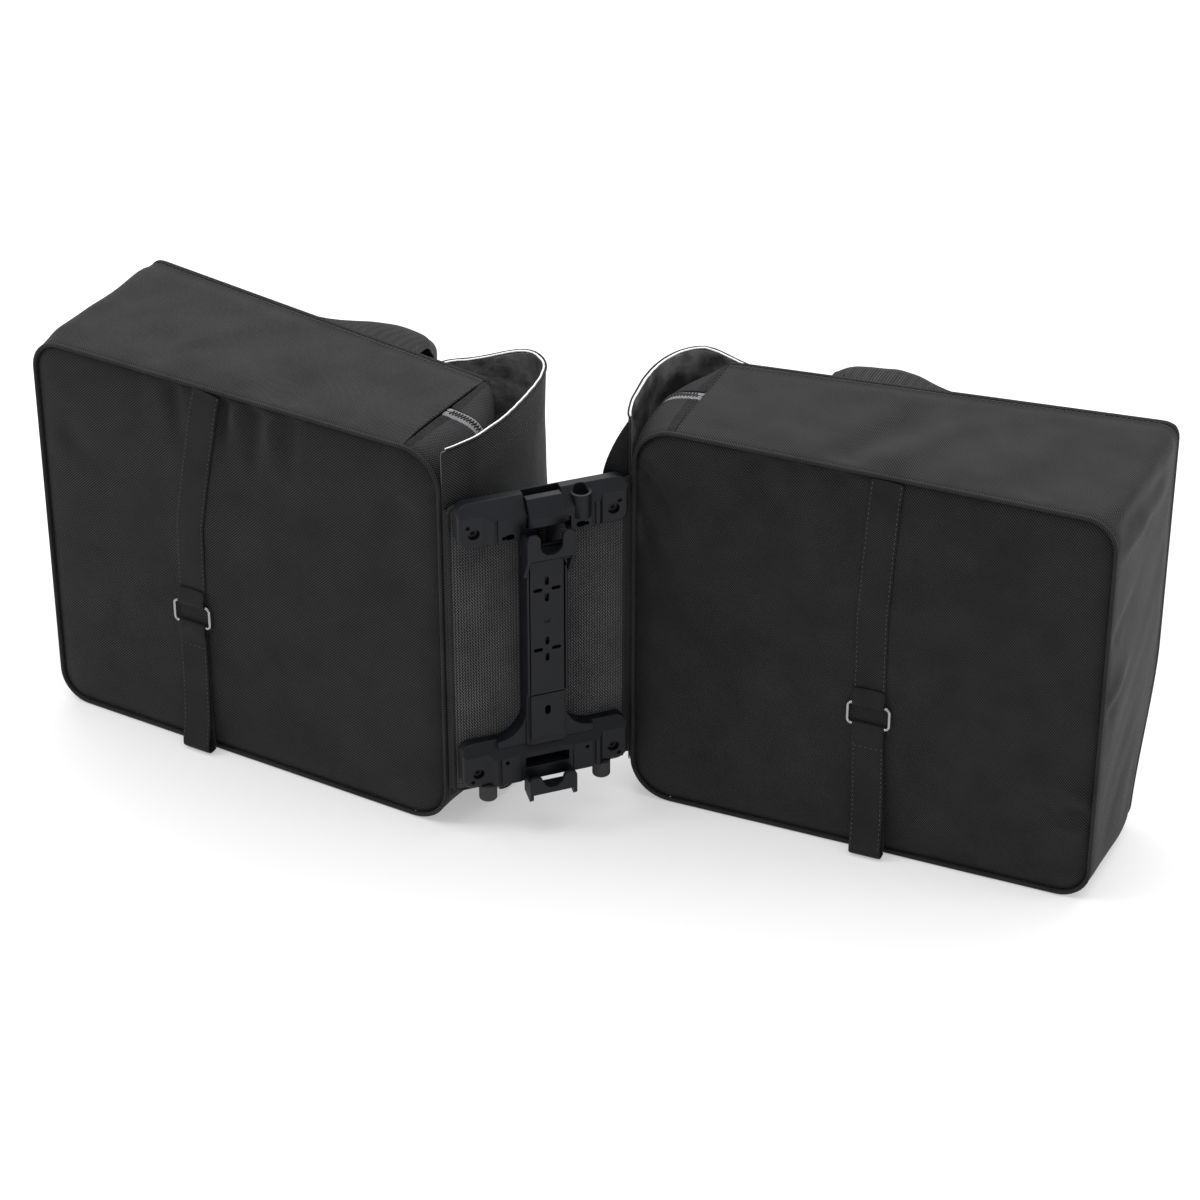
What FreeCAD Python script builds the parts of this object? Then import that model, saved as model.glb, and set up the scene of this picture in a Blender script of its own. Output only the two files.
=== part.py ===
import FreeCAD, Part
import math
import os

# Double pannier bag, in millimetres.  It stands on one end: the bicycle's fore-and-aft direction is +Z.
# The bridge that lies over the rack is upright in the XZ plane, and its rack side faces -Y.
# The left and right bags are sewn to the bridge's long edges and fold about those two vertical lines.
# A bag is drawn in its own coordinates and then turned into place:
#   u runs from the fold line to the bag's base, v from the wheel side to the outer side, z upwards.

V = FreeCAD.Vector

# ---- driving dimensions -------------------------------------------------------------------------
BAG_LENGTH = 320.0         # z, along the bicycle
BAG_HEIGHT = 365.0         # u, from the fold line to the base
BAG_START = 3.0            # u where the panels begin, clear of the fold
MOUTH_CORNER_U = 32.0      # u and v of the rounded top side's outer corner
MOUTH_CORNER_V = 118.0
BASE_DEPTH = 157.0         # v of the outer face at the base
FLAT_TOP_V = 20.0          # the top side is flat up to here, and then one arc
CORNER_NEAR = 32.0         # corner radii of the wheel-side panel
CORNER_FAR = 25.0
WALL = 2.5
PAD = 6.0                  # padded wheel-side panel
BOARD = 3.2                # stiffening board behind it
PIPE = 3.2                 # piping round the wheel-side panel
PIPE_PROUD = 1.2
BODY_GAP = 0.3             # between pieces on different bodies

END_SEAM_U = 33.0          # seam across the end faces, where the zipped top begins
BASE_SEAM_U = 340.0
FLAP_Z = (50.0, 270.0)     # part of the zipped top that folds inwards
FLAP_V = (9.8, 113.0)
ZIP_V = 60.0               # centre line of the zip
ZIP_HALF = 4.0             # half the gap between the two flaps
TAPE_HALF = 10.0
TAPE = 1.2
CHAIN_HALF = 2.8
CHAIN_INSET = 0.7
SPLIT = 0.2                # half the parting between the two rows of teeth

SLIDER_Z = 41.0
SLIDER_LENGTH = 14.0
SLIDER_WIDTH = 8.0
SLIDER_U = (3.2, 6.2)
PULLER_AXIS_U = 1.4
PULLER_LENGTH = 26.0
PULLER_PIN = 0.7
RUNNING = 0.07             # radial clearance of a running fit

LID_FABRIC = 1.3           # the lid's outer fabric, and the coated lining under it
LID_LINING = 0.9
LID_Z = (5.0, 322.0)
LID_EDGE = 2.0             # reflective piping on the lid's ends
LID_EDGE_PROUD = 0.3

STRAP_WIDTH = 25.0
STRAP_THICK = 1.8
RING_Z = (112.0, 130.0)
RING_WIDTH = 32.0
RING_WIRE = 1.2
RING_CORNER = 3.5

POCKET_Z = (8.0, 313.0)
POCKET_WALL = 2.0
POCKET_CORNER = 36.0

HINGE_X = 70.0
ROLL_R = 1.5               # roll of cloth on each fold line
BRIDGE_Z = (35.0, 278.0)
BRIDGE_HALF = 67.0
COVER_HALF = 54.0
FABRIC_Y = (-4.0, -3.0)
BRIDGE_BOARD_Y = (-3.0, 0.0)
FOAM_Y = (0.0, 2.5)
COVER_Y = (2.5, 3.5)

BAR_HALF = 65.0
BAR_BACK = -4.0
BAR_FRONT = -20.0          # the bars' thick middle stretches
PAD_FRONT = -17.0          # the thinner pads at their ends, where the screws go through
BAR_CORNER = 8.0
UPPER_BAR_Z = (250.0, 285.0)
LOWER_BAR_Z = (44.0, 80.0)
BAR_BEVEL = (13.0, 9.0)    # height and depth of the bevel along a bar's upper edge
PAD_X = 41.5               # a pad begins here
PAD_DROP = 3.0             # how far the upper bar's middle stretch stops above its pads' lower edge
PAD_RIM = 3.0              # rounding of the pads' outer edges
STEP_SLOPE = 3.0           # a stretch meets its pad in a slope
GROOVE_X = (36.0, 38.5)
GROOVE_DEEP = 1.6
SPINE_HALF = 15.5
SPINE_FRONT = -18.0
SPINE_FILLET = 22.0        # where the spine spreads into the lower bar
SPINE_RIB = 1.6
RIB_PROUD = 0.7
RIB_TOP_Z = 226.0
SCREW_X = 53.3
SCREW_Z = (56.3, 262.3)
SCREW_HOLE = 4.4
SCREW_SEAT = -11.0
SHANK = 2.5
NUT_R = 5.5
SOCKET_R = 1.7
PILOT_R = 1.6              # small moulding holes in the bars
PILOT_DEEP = 6.0
OVAL_X = 27.0
OVAL_Z = 256.5
WINDOW_HALF = 17.0         # window above the rear hook
WINDOW_Z = (54.5, 63.5)
SPINE_SLOT_Z = 104.0
SEAT_X = 20.5              # the rack bears on the lower bar beyond this, either side of a shallow recess
SEAT_PROUD = 0.6
LEVER_HALF = 13.5
LEVER_Z = (262.5, 283.0)
LEVER_Y = (-25.0, -11.0)
PIN_YZ = (-16.0, 268.5)
PIN_R = 1.6
PIN_HALF = 18.5
LOCK_XY = (28.5, -15.5)
LOCK_BOSS_R = 7.8
LOCK_R = 5.6
LOCK_TOP = 281.0
LOCK_SUNK = 5.0            # the barrel's face stands this far below the boss's rim
LOCK_FLOOR = 262.0
LOCK_BOSS_LOW = 262.0
JAW_HALF = 18.5
JAW_Z = (240.0, 261.0)
JAW_DIP_Z = 243.4          # bottom of the dip in the jaw's upper edge
JAW_PRONG = 18.0           # its side walls run this far down beside the plate, to a point
JAW_LIP_Z = (236.0, 237.2)
JAW_ROOM = 0.8             # clearance round the jaw and the lever
JAW_TAB = (6.0, -9.5)      # half width, and y of the end, of the tab that the spring pushes on
HOOK_HALF = 18.5
HOOK_Z = (38.0, 53.0)
HOOK_DIP_Z = 42.5
HOOK_PRONG = 6.0
HOOK_PLATE_Y = (-33.0, -30.0)
HOOK_WALL = 2.6
DIP_R = 8.5                # rounded dip in a hook's upper edge
EAR_R = 4.0                # rounding of the ears either side of the dip
PLUS_Z = (157.3, 208.2)    # plus-shaped slots in the jaw's plate
DIMPLE_Z = 181.8
PLATE_HALF = 13.0
PLATE_Y = (-21.3, -18.3)
PLATE_Z = (119.0, 246.0)
BUFFER_X = 45.0
BUFFER_Y = -13.0
BUFFER_R = 6.8
BUFFER_Z = (31.0, 44.0)


# Everything that differs between the two bags.  The lid's points are (u, v) on the seam between its two
# layers, and the strap's are (u, z) on its centre line at the top seam, the ring and the base.
SIDES = {
    "left": {
        "mirrored": True,
        "turn": -50.9,
        "lid": [(0, 2.5), (-5, 20), (-7, 35), (-8, 75), (-3, 120), (4, 146), (18, 160), (38, 162),
                (62, 152), (80, 139), (86, 129)],
        "lid_bend_v": 35,
        "strap": [(204, 316), (227, 121), (226, 4)],
    },
    "right": {
        "mirrored": False,
        "turn": -43.5,
        "lid": [(0, 2.5), (-5, 18), (-9, 35), (-11.5, 60), (-11, 86), (-6, 106), (4, 122), (16, 129),
                (36, 130), (60, 130), (86, 131)],
        "lid_bend_v": 35,
        "strap": [(197, 316), (192, 121), (196, 4)],
    },
}


# ---- shape helpers ------------------------------------------------------------------------------
def box(x, y, z):
    """A box from three (low, high) pairs."""
    corner = V(x[0], y[0], z[0])
    return Part.makeBox(x[1] - x[0], y[1] - y[0], z[1] - z[0], corner)


def cylinder(radius, start, direction, length):
    return Part.makeCylinder(radius, length, V(*start), V(*direction))


def fuse(first, *others):
    return first.multiFuse(list(others)).removeSplitter()


def prism(points, low, high, plane):
    """A straight-sided outline in the named plane, extruded from low to high across it."""
    place = {
        "uv": lambda a, b: V(a, b, low),
        "uz": lambda a, b: V(a, low, b),
        "vz": lambda a, b: V(low, a, b),
    }[plane]
    along = {"uv": V(0, 0, 1), "uz": V(0, 1, 0), "vz": V(1, 0, 0)}[plane]
    corners = [place(a, b) for a, b in points]
    face = Part.Face(Part.makePolygon(corners + corners[:1]))
    return face.extrude(along * (high - low))


def arc(centre, radius, start, end, y):
    """An arc in the plane at y, between two angles in degrees."""
    def point(angle):
        turn = math.radians(angle)
        return V(centre[0] + radius * math.cos(turn), y, centre[1] + radius * math.sin(turn))
    return Part.Arc(point(start), point((start + end) / 2), point(end)).toShape()


def rounded_wire(x, z, near, far, y):
    """A rectangle in the plane at y, with corner radius near at low x and far at high x."""
    corners = [
        ((x[1] - far, z[0] + far), far, -90),
        ((x[1] - far, z[1] - far), far, 0),
        ((x[0] + near, z[1] - near), near, 90),
        ((x[0] + near, z[0] + near), near, 180),
    ]
    arcs = [arc(centre, radius, start, start + 90, y) for centre, radius, start in corners]
    edges = []
    for n, bend in enumerate(arcs):
        following = arcs[(n + 1) % len(arcs)]
        edges.append(bend)
        edges.append(Part.LineSegment(bend.lastVertex().Point, following.firstVertex().Point).toShape())
    return Part.Wire(edges)


def rounded_plate(x, z, near, far, y):
    face = Part.Face(rounded_wire(x, z, near, far, y[0]))
    return face.extrude(V(0, y[1] - y[0], 0))


def ribbon(points, offsets, z):
    """A sheet between two offsets from a smooth line through (u, v) points, and between two heights."""
    middle = Part.BSplineCurve()
    middle.interpolate([V(u, v, z[0]) for u, v in points])
    sides = []
    for offset in offsets:
        shifted = []
        for u, v in points:
            place = V(u, v, z[0])
            along = middle.tangent(middle.parameter(place))[0]
            shifted.append(place + V(-along.y, along.x, 0) * offset)
        side = Part.BSplineCurve()
        side.interpolate(shifted)
        sides.append(side)
    first, second = sides
    ends = [
        Part.LineSegment(first.EndPoint, second.EndPoint),
        Part.LineSegment(second.StartPoint, first.StartPoint),
    ]
    wire = Part.Wire([first.toShape(), ends[0].toShape(), second.toShape(), ends[1].toShape()])
    return Part.Face(wire).extrude(V(0, 0, z[1] - z[0]))


# ---- the bag's form -----------------------------------------------------------------------------
def outer_v(u):
    """v of the outer face, which leans outwards towards the base."""
    slope = (BASE_DEPTH - MOUTH_CORNER_V) / (BAG_HEIGHT - MOUTH_CORNER_U)
    return MOUTH_CORNER_V + (u - MOUTH_CORNER_U) * slope


def top_radius():
    """Radius of the top side's arc, from the flat part to the outer corner."""
    rise = MOUTH_CORNER_U - BAG_START
    run = MOUTH_CORNER_V - FLAT_TOP_V
    return (rise * rise + run * run) / (2 * rise)


def top_u(v):
    """u of the top side's outer surface."""
    if v <= FLAT_TOP_V:
        return BAG_START
    radius = top_radius()
    run = v - FLAT_TOP_V
    return BAG_START + radius - math.sqrt(radius * radius - run * run)


def bag_form(inset, low_v):
    """The bag's outer form, drawn in by inset on every side but the wheel side, which is at low_v."""
    middle_v = (FLAT_TOP_V + MOUTH_CORNER_V) / 2
    start = V(BAG_START, FLAT_TOP_V, 0)
    corner = V(MOUTH_CORNER_U, MOUTH_CORNER_V, 0)
    base = V(BAG_HEIGHT, BASE_DEPTH, 0)
    under = 2 * WALL
    points = [base, V(BAG_HEIGHT, -under, 0), V(BAG_START, -under, 0), start]
    edges = [Part.Arc(start, V(top_u(middle_v), middle_v, 0), corner).toShape()]
    edges.append(Part.LineSegment(corner, base).toShape())
    edges += [Part.LineSegment(a, b).toShape() for a, b in zip(points, points[1:])]
    section = Part.Face(Part.Wire(edges))
    if inset:
        section = section.makeOffset2D(-inset, 2)
    profile = section.extrude(V(0, 0, BAG_LENGTH))
    depth = (low_v, BASE_DEPTH + WALL)
    plate = rounded_plate((BAG_START + inset, BAG_HEIGHT - inset), (inset, BAG_LENGTH - inset),
                          CORNER_NEAR - inset, CORNER_FAR - inset, depth)
    return profile.common(plate)


def layer(outside, inside, low_v):
    return bag_form(outside, low_v).cut(bag_form(inside, low_v))


def outer_wall(inset, u, z, proud):
    """A slab that starts inset below the outer face and ends proud of it."""
    points = [(u[0], outer_v(u[0]) - inset), (u[1], outer_v(u[1]) - inset),
              (u[1], outer_v(u[1]) + proud), (u[0], outer_v(u[0]) + proud)]
    return prism(points, z[0], z[1], "uv")


def panel_plate(inset, v):
    return rounded_plate((BAG_START + inset, BAG_HEIGHT - inset), (inset, BAG_LENGTH - inset),
                         CORNER_NEAR - inset, CORNER_FAR - inset, v)


# ---- one bag's pieces ---------------------------------------------------------------------------
def shell_pieces():
    """Outer panel, gussets and the zipped top, cut from one shell."""
    far = 2 * BAG_HEIGHT
    whole = (-far, far)
    shell = layer(0, WALL, PIPE - PIPE_PROUD)
    slab = outer_wall(WALL, (MOUTH_CORNER_U, BAG_HEIGHT + WALL), (0, BAG_LENGTH), 2 * WALL)
    outer_panel = bag_form(0, PIPE - PIPE_PROUD).common(slab)
    rim = shell.cut(slab)
    lip = rim.common(box((END_SEAM_U, BASE_SEAM_U), whole, (WALL, BAG_LENGTH - WALL)))
    top = fuse(rim.common(box((-far, END_SEAM_U), whole, whole)), lip)
    zip_gap = box(whole, (ZIP_V - ZIP_HALF, ZIP_V + ZIP_HALF), whole)
    flap_space = box(whole, (FLAP_V[0] - BODY_GAP, FLAP_V[1] + BODY_GAP), FLAP_Z)
    moving = (FLAP_Z[0] + BODY_GAP, FLAP_Z[1] - BODY_GAP)
    return {
        "outer_panel": outer_panel,
        "upper_gusset": rim.common(box((END_SEAM_U, BASE_SEAM_U), whole, (BAG_LENGTH - WALL, far))),
        "lower_gusset": rim.common(box((END_SEAM_U, BASE_SEAM_U), whole, (-far, WALL))),
        "base_gusset": rim.common(box((BASE_SEAM_U, far), whole, whole)),
        "top_frame": top.cut(flap_space).cut(zip_gap),
        "inner_flap": top.common(box(whole, (FLAP_V[0], ZIP_V - ZIP_HALF), moving)),
        "outer_flap": top.common(box(whole, (ZIP_V + ZIP_HALF, FLAP_V[1]), moving)),
    }


def zip_pieces():
    """Zip tapes under the flaps' edges, each with its row of teeth, and the fixed ends of the zip."""
    far = 2 * BAG_HEIGHT
    tape = layer(WALL, WALL + TAPE, PAD)
    chain = layer(CHAIN_INSET, WALL, PAD)
    near_top = (-far, END_SEAM_U)

    def strip(low_v, high_v, chain_low, chain_high, z):
        flat = tape.common(box(near_top, (low_v, high_v), z))
        teeth = chain.common(box(near_top, (chain_low, chain_high), z))
        return fuse(flat, teeth)

    moving = (FLAP_Z[0] + BODY_GAP, FLAP_Z[1] - BODY_GAP)
    ends = [(-WALL, FLAP_Z[0]), (FLAP_Z[1], BAG_LENGTH + WALL)]
    fixed = [strip(ZIP_V - TAPE_HALF, ZIP_V + TAPE_HALF, ZIP_V - CHAIN_HALF, ZIP_V + CHAIN_HALF, z)
             for z in ends]
    return {
        "inner_tape": strip(ZIP_V - TAPE_HALF, ZIP_V - SPLIT, ZIP_V - CHAIN_HALF, ZIP_V - SPLIT, moving),
        "outer_tape": strip(ZIP_V + SPLIT, ZIP_V + TAPE_HALF, ZIP_V + SPLIT, ZIP_V + CHAIN_HALF, moving),
        "zip_ends": Part.makeCompound(fixed),
    }


def panel_pieces():
    """The wheel-side panel with its piping, and the board behind it."""
    piping = panel_plate(0, (-PIPE_PROUD, PIPE - PIPE_PROUD)).cut(
        panel_plate(PIPE, (-2 * PIPE, 2 * PIPE)))
    return {
        "back_panel": panel_plate(PIPE, (0, PAD)),
        "back_board": panel_plate(2 * PIPE, (PAD, PAD + BOARD)),
        "panel_piping": piping,
    }


def zip_slider():
    """Slider body with two cheeks that hold the pin of the pull tab."""
    half_width = SLIDER_WIDTH / 2
    z = (SLIDER_Z - SLIDER_LENGTH / 2, SLIDER_Z + SLIDER_LENGTH / 2)
    body = box(SLIDER_U, (ZIP_V - half_width, ZIP_V + half_width), z)
    upright = [edge for edge in body.Edges if abs(edge.tangentAt(edge.FirstParameter).x) > 0.9]
    body = body.makeFillet(2.0, upright)
    cheek_u = (PULLER_AXIS_U - 2 * PULLER_PIN, SLIDER_U[0] + PULLER_PIN)
    cheek_z = (SLIDER_Z - 2.0, SLIDER_Z + 2.0)
    cheeks = [box(cheek_u, v, cheek_z) for v in ((ZIP_V - 3.4, ZIP_V - 2.2), (ZIP_V + 2.2, ZIP_V + 3.4))]
    pin = cylinder(PULLER_PIN, (PULLER_AXIS_U, ZIP_V - 3.0, SLIDER_Z), (0, 1, 0), 6.0)
    return fuse(body, pin, *cheeks)


def zip_puller():
    """Pull tab that hangs from the slider's pin."""
    half_eye = 1.9
    eye = cylinder(1.5, (PULLER_AXIS_U, ZIP_V - half_eye, SLIDER_Z), (0, 1, 0), 2 * half_eye)
    neck = box((PULLER_AXIS_U - 0.7, PULLER_AXIS_U + 0.7), (ZIP_V - half_eye, ZIP_V + half_eye),
               (SLIDER_Z - 6.0, SLIDER_Z - 0.9))
    tab_z = (SLIDER_Z - PULLER_LENGTH, SLIDER_Z - 5.0)
    tab = rounded_plate((-3.4, 3.4), tab_z, 2.0, 2.0, (-0.7, 0.7))
    tab.rotate(V(0, 0, 0), V(0, 0, 1), 90)
    tab.translate(V(PULLER_AXIS_U, ZIP_V, 0))
    hole = cylinder(PULLER_PIN + RUNNING, (PULLER_AXIS_U, ZIP_V - 5.0, SLIDER_Z), (0, 1, 0), 10.0)
    return fuse(eye, neck, tab).cut(hole)


def lid_pieces(points, bend_v):
    """Lid flap, its lining and the reflective piping on its two ends, and the root that stays on the bag.

    The root holds the roll of cloth on the fold line.  The rest of the lid bends away from it at bend_v.
    """
    far = 2 * BAG_HEIGHT
    whole = (-far, far)
    fixed = box(whole, (-far, bend_v - BODY_GAP / 2), whole)
    free = box(whole, (bend_v + BODY_GAP / 2, far), whole)
    ends = [(LID_Z[0] - LID_EDGE, LID_Z[0]), (LID_Z[1], LID_Z[1] + LID_EDGE)]
    edge = (-LID_LINING - LID_EDGE_PROUD, LID_FABRIC + LID_EDGE_PROUD)
    root = ribbon(points, (-LID_LINING, LID_FABRIC), (ends[0][0], ends[1][1])).common(fixed)
    roll_z = (BRIDGE_Z[0] + 2, BRIDGE_Z[1] - 2)
    roll = cylinder(ROLL_R, (0, 0, roll_z[0]), (0, 0, 1), roll_z[1] - roll_z[0])
    web = box((-LID_FABRIC, LID_LINING), (0, points[0][1] + 1), roll_z)
    return {
        "lid": ribbon(points, (0, LID_FABRIC), LID_Z).common(free),
        "lid_lining": ribbon(points, (-LID_LINING, 0), LID_Z).common(free),
        "lid_piping": Part.makeCompound([ribbon(points, edge, z).common(free) for z in ends]),
        "fold_web": fuse(root, roll, web),
    }


def strap_pieces(strap):
    """Flat webbing from the top seam to a wire ring, and the doubled strap from the ring to the base."""
    top, middle, foot = strap
    half = STRAP_WIDTH / 2
    face = -PIPE_PROUD - BODY_GAP / 2
    ring_v = face - RING_WIRE - STRAP_THICK
    half_ring = RING_WIDTH / 2
    path = rounded_wire((middle[0] - half_ring, middle[0] + half_ring), RING_Z,
                        RING_CORNER, RING_CORNER, ring_v)
    start = path.Edges[1]
    section = Part.Wire(Part.makeCircle(RING_WIRE, start.firstVertex().Point,
                                        start.tangentAt(start.FirstParameter)))
    ring = Part.Wire(Part.__sortEdges__(path.Edges)).makePipeShell([section], True, False)
    loop_top = RING_Z[1] + 2 * RING_WIRE
    loop_low = RING_Z[1] - 2 * RING_WIRE
    flat = [(top[0] - half, top[1]), (top[0] + half, top[1]),
            (middle[0] + half, loop_low), (middle[0] - half, loop_low)]
    loop = box((middle[0] - half, middle[0] + half), (ring_v - RING_WIRE - STRAP_THICK, face),
               (loop_low, loop_top))
    upper = fuse(prism(flat, face - STRAP_THICK, face, "uz"), loop).cut(ring)
    tail_front = face - 3 * STRAP_THICK
    side = [(face, foot[1]), (face, RING_Z[0] + 2 * RING_WIRE),
            (ring_v - RING_WIRE - STRAP_THICK, RING_Z[0] + 2 * RING_WIRE), (tail_front, RING_Z[0] - 16),
            (tail_front, 30), (-12.5, 6), (-11.0, 1.5), (-6.0, 1.0)]
    lower = prism(side, middle[0] - half, middle[0] + half, "vz").cut(ring)
    return {"strap_upper": upper, "strap_ring": ring, "strap_lower": lower}


def pocket():
    """Outer pocket that bulges out of the outer face and is open towards the lid."""
    def offset_outline(points, inset):
        return [(u, outer_v(u) + proud - inset) for u, proud in points]

    front = [(106, 20), (122, 31), (142, 35), (160, 31), (195, 14), (320, 6)]
    u_end = front[-1][0]
    seam = [(u_end, outer_v(u_end)), (front[0][0], outer_v(front[0][0]))]
    outside = prism(offset_outline(front, 0) + seam, POCKET_Z[0], POCKET_Z[1], "uv")
    form = rounded_plate((front[0][0] - POCKET_CORNER, u_end), POCKET_Z, POCKET_WALL, POCKET_CORNER,
                         (MOUTH_CORNER_V, BASE_DEPTH + BAG_START + POCKET_CORNER))
    hollow = [(u, proud) for u, proud in front if u < 200]
    mouth_u = front[0][0] - POCKET_WALL
    u_last = hollow[-1][0]
    hollow_line = [(mouth_u, outer_v(mouth_u) + front[0][1] - POCKET_WALL)]
    hollow_line += offset_outline(hollow, POCKET_WALL)
    floor = [(u_last, outer_v(u_last) + POCKET_WALL), (mouth_u, outer_v(mouth_u) + POCKET_WALL)]
    inside = prism(hollow_line + floor, POCKET_Z[0] + POCKET_WALL, POCKET_Z[1] - POCKET_WALL, "uv")
    return outside.common(form).cut(inside)


def place_bag(shape, side):
    """Turns a piece from the bag's own coordinates into place beside the bridge."""
    fold_x = -HINGE_X if side["mirrored"] else HINGE_X
    placed = shape.mirror(V(0, 0, 0), V(1, 0, 0)) if side["mirrored"] else shape.copy()
    placed.rotate(V(0, 0, 0), V(0, 0, 1), side["turn"])
    placed.translate(V(fold_x, 0, 0))
    return placed


def bag_pieces(side_name, side):
    shared = {}
    shared.update(panel_pieces())
    shared.update(shell_pieces())
    shared.update(zip_pieces())
    shared["zip_slider"] = zip_slider()
    shared["zip_puller"] = zip_puller()
    shared["pocket"] = pocket()
    shared.update(lid_pieces(side["lid"], side["lid_bend_v"]))
    shared.update(strap_pieces(side["strap"]))
    return {f"{side_name}_{name}": place_bag(shape, side) for name, shape in shared.items()}


# ---- bridge and clip-on adapter -----------------------------------------------------------------
def bridge_pieces():
    """Fabric, stiffening board, foam and cover of the bridge."""
    board_z = (BRIDGE_Z[0] + 2, BRIDGE_Z[1] - 2)
    half = (-BRIDGE_HALF, BRIDGE_HALF)
    cover = (-COVER_HALF, COVER_HALF)
    pieces = {
        "bridge_fabric": box(half, FABRIC_Y, BRIDGE_Z),
        "bridge_board": box(half, BRIDGE_BOARD_Y, board_z),
        "bridge_foam": box(cover, FOAM_Y, board_z),
        "bridge_cover": box(cover, COVER_Y, BRIDGE_Z),
    }
    for x in (-SCREW_X, SCREW_X):
        for z in SCREW_Z:
            hole = cylinder(SHANK + RUNNING, (x, FABRIC_Y[0] - 1, z), (0, 1, 0), COVER_Y[0] - FABRIC_Y[0] + 1)
            seat = cylinder(NUT_R + RUNNING, (x, FOAM_Y[0], z), (0, 1, 0), FOAM_Y[1] - FOAM_Y[0])
            pieces["bridge_fabric"] = pieces["bridge_fabric"].cut(hole)
            pieces["bridge_board"] = pieces["bridge_board"].cut(hole)
            pieces["bridge_foam"] = pieces["bridge_foam"].cut(seat)
    return pieces


def wavy_hook(half_width, z, dip_z, wall_back, foot):
    """A plate with a rounded dip in its upper edge, held off the bar by a floor and two walls.

    foot is the lower end of a wall's outline, as (y, z) points from the back to the front.
    """
    front, back = HOOK_PLATE_Y
    plate = box((-half_width, half_width), HOOK_PLATE_Y, z)
    centre_z = dip_z + DIP_R
    plate = plate.cut(cylinder(DIP_R, (0, front - 1, centre_z), (0, 1, 0), back - front + 2))
    plate = plate.cut(box((-DIP_R, DIP_R), (front - 1, back + 1), (centre_z, z[1] + 1)))
    ears = [edge for edge in plate.Edges if edge.BoundBox.ZMin > z[1] - 0.1 and edge.BoundBox.XLength < 0.1]
    plate = plate.makeFillet(EAR_R, ears)
    floor = box((-half_width, half_width), (front, wall_back), (z[0], z[0] + HOOK_WALL))
    shoulder = z[1] - EAR_R
    side = [(front, shoulder), (wall_back, shoulder)] + foot
    walls = [prism(side, x, x + HOOK_WALL, "vz") for x in (-half_width, half_width - HOOK_WALL)]
    return fuse(plate, floor, *walls)


def slot_z(x, z, length, radius, y):
    """An upright oval slot through y."""
    depth = y[1] - y[0]
    ends = [cylinder(radius, (x, y[0], z + end), (0, 1, 0), depth)
            for end in (-length / 2 + radius, length / 2 - radius)]
    core = box((x - radius, x + radius), y, (z - length / 2 + radius, z + length / 2 - radius))
    return fuse(core, *ends)


def plus_slots(z, y):
    """Four short slots in a plus."""
    arms = [slot_z(0, z + side * 7.0, 7.0, 1.5, y) for side in (-1, 1)]
    across = [arm.copy() for arm in arms]
    for arm in across:
        arm.rotate(V(0, 0, z), V(0, 1, 0), 90)
    return arms + across


def bar(z, low_edge):
    """One cross bar: a thick middle stretch between two thinner pads, bevelled along its upper edge.

    low_edge is where the middle stretch ends below.
    """
    pads = rounded_plate((-BAR_HALF, BAR_HALF), z, BAR_CORNER, BAR_CORNER, (PAD_FRONT, BAR_BACK))
    rim = [edge for edge in pads.Edges if edge.BoundBox.YMax < PAD_FRONT + 0.1]
    pads = pads.makeFillet(PAD_RIM, rim)
    slope = [(-PAD_X - STEP_SLOPE, PAD_FRONT), (-PAD_X, BAR_FRONT), (PAD_X, BAR_FRONT),
             (PAD_X + STEP_SLOPE, PAD_FRONT), (PAD_X + STEP_SLOPE, BAR_BACK), (-PAD_X - STEP_SLOPE, BAR_BACK)]
    middle = prism(slope, low_edge, z[1], "uv")
    height, depth = BAR_BEVEL
    wedge = [(BAR_FRONT - 1, z[1] - height), (BAR_FRONT, z[1] - height), (BAR_FRONT + depth, z[1]),
             (BAR_FRONT + depth, z[1] + 1), (BAR_FRONT - 1, z[1] + 1)]
    cut = fuse(pads, middle).cut(prism(wedge, -BAR_HALF - 1, BAR_HALF + 1, "vz"))
    for sign in (-1, 1):
        groove_x = sorted(sign * x for x in GROOVE_X)
        cut = cut.cut(box(groove_x, (BAR_FRONT - 1, BAR_FRONT + GROOVE_DEEP), (z[0] - 1, z[1] - height)))
    return cut


def rear_hook():
    """Fixed hook on the lower bar."""
    front = HOOK_PLATE_Y[0]
    back = BAR_FRONT + SEAT_PROUD
    tip = HOOK_Z[0] - HOOK_PRONG
    foot = [(back, HOOK_Z[0] - 2), (front + 2, tip), (front, tip + 2)]
    return wavy_hook(HOOK_HALF, HOOK_Z, HOOK_DIP_Z, back, foot)


def spine():
    """The spine between the bars, spread where it meets the lower one, with ribs that guide the jaw's plate."""
    foot = LOWER_BAR_Z[1] - 6
    half, spread = SPINE_HALF, SPINE_HALF + SPINE_FILLET
    blade = box((-half, half), (SPINE_FRONT, BAR_BACK), (foot, UPPER_BAR_Z[0] + 2))
    sleeve = box((-spread, spread), (SPINE_FRONT + 2.0, BAR_BACK), (foot, LOWER_BAR_Z[1] + SPINE_FILLET))
    for sign in (-1, 1):
        sleeve = sleeve.cut(cylinder(SPINE_FILLET, (sign * spread, SPINE_FRONT, LOWER_BAR_Z[1] + SPINE_FILLET),
                                     (0, 1, 0), BAR_BACK - SPINE_FRONT + 1))
    raised = box((-PLATE_HALF, PLATE_HALF), (PLATE_Y[0], SPINE_FRONT), (foot, PLATE_Z[0] - 1.0))
    ribs = [box((x, x + SPINE_RIB), (PLATE_Y[0] - RIB_PROUD, SPINE_FRONT), (PLATE_Z[0], RIB_TOP_Z))
            for x in (-half, half - SPINE_RIB)]
    return fuse(blade, sleeve, raised, *ribs)


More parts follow.
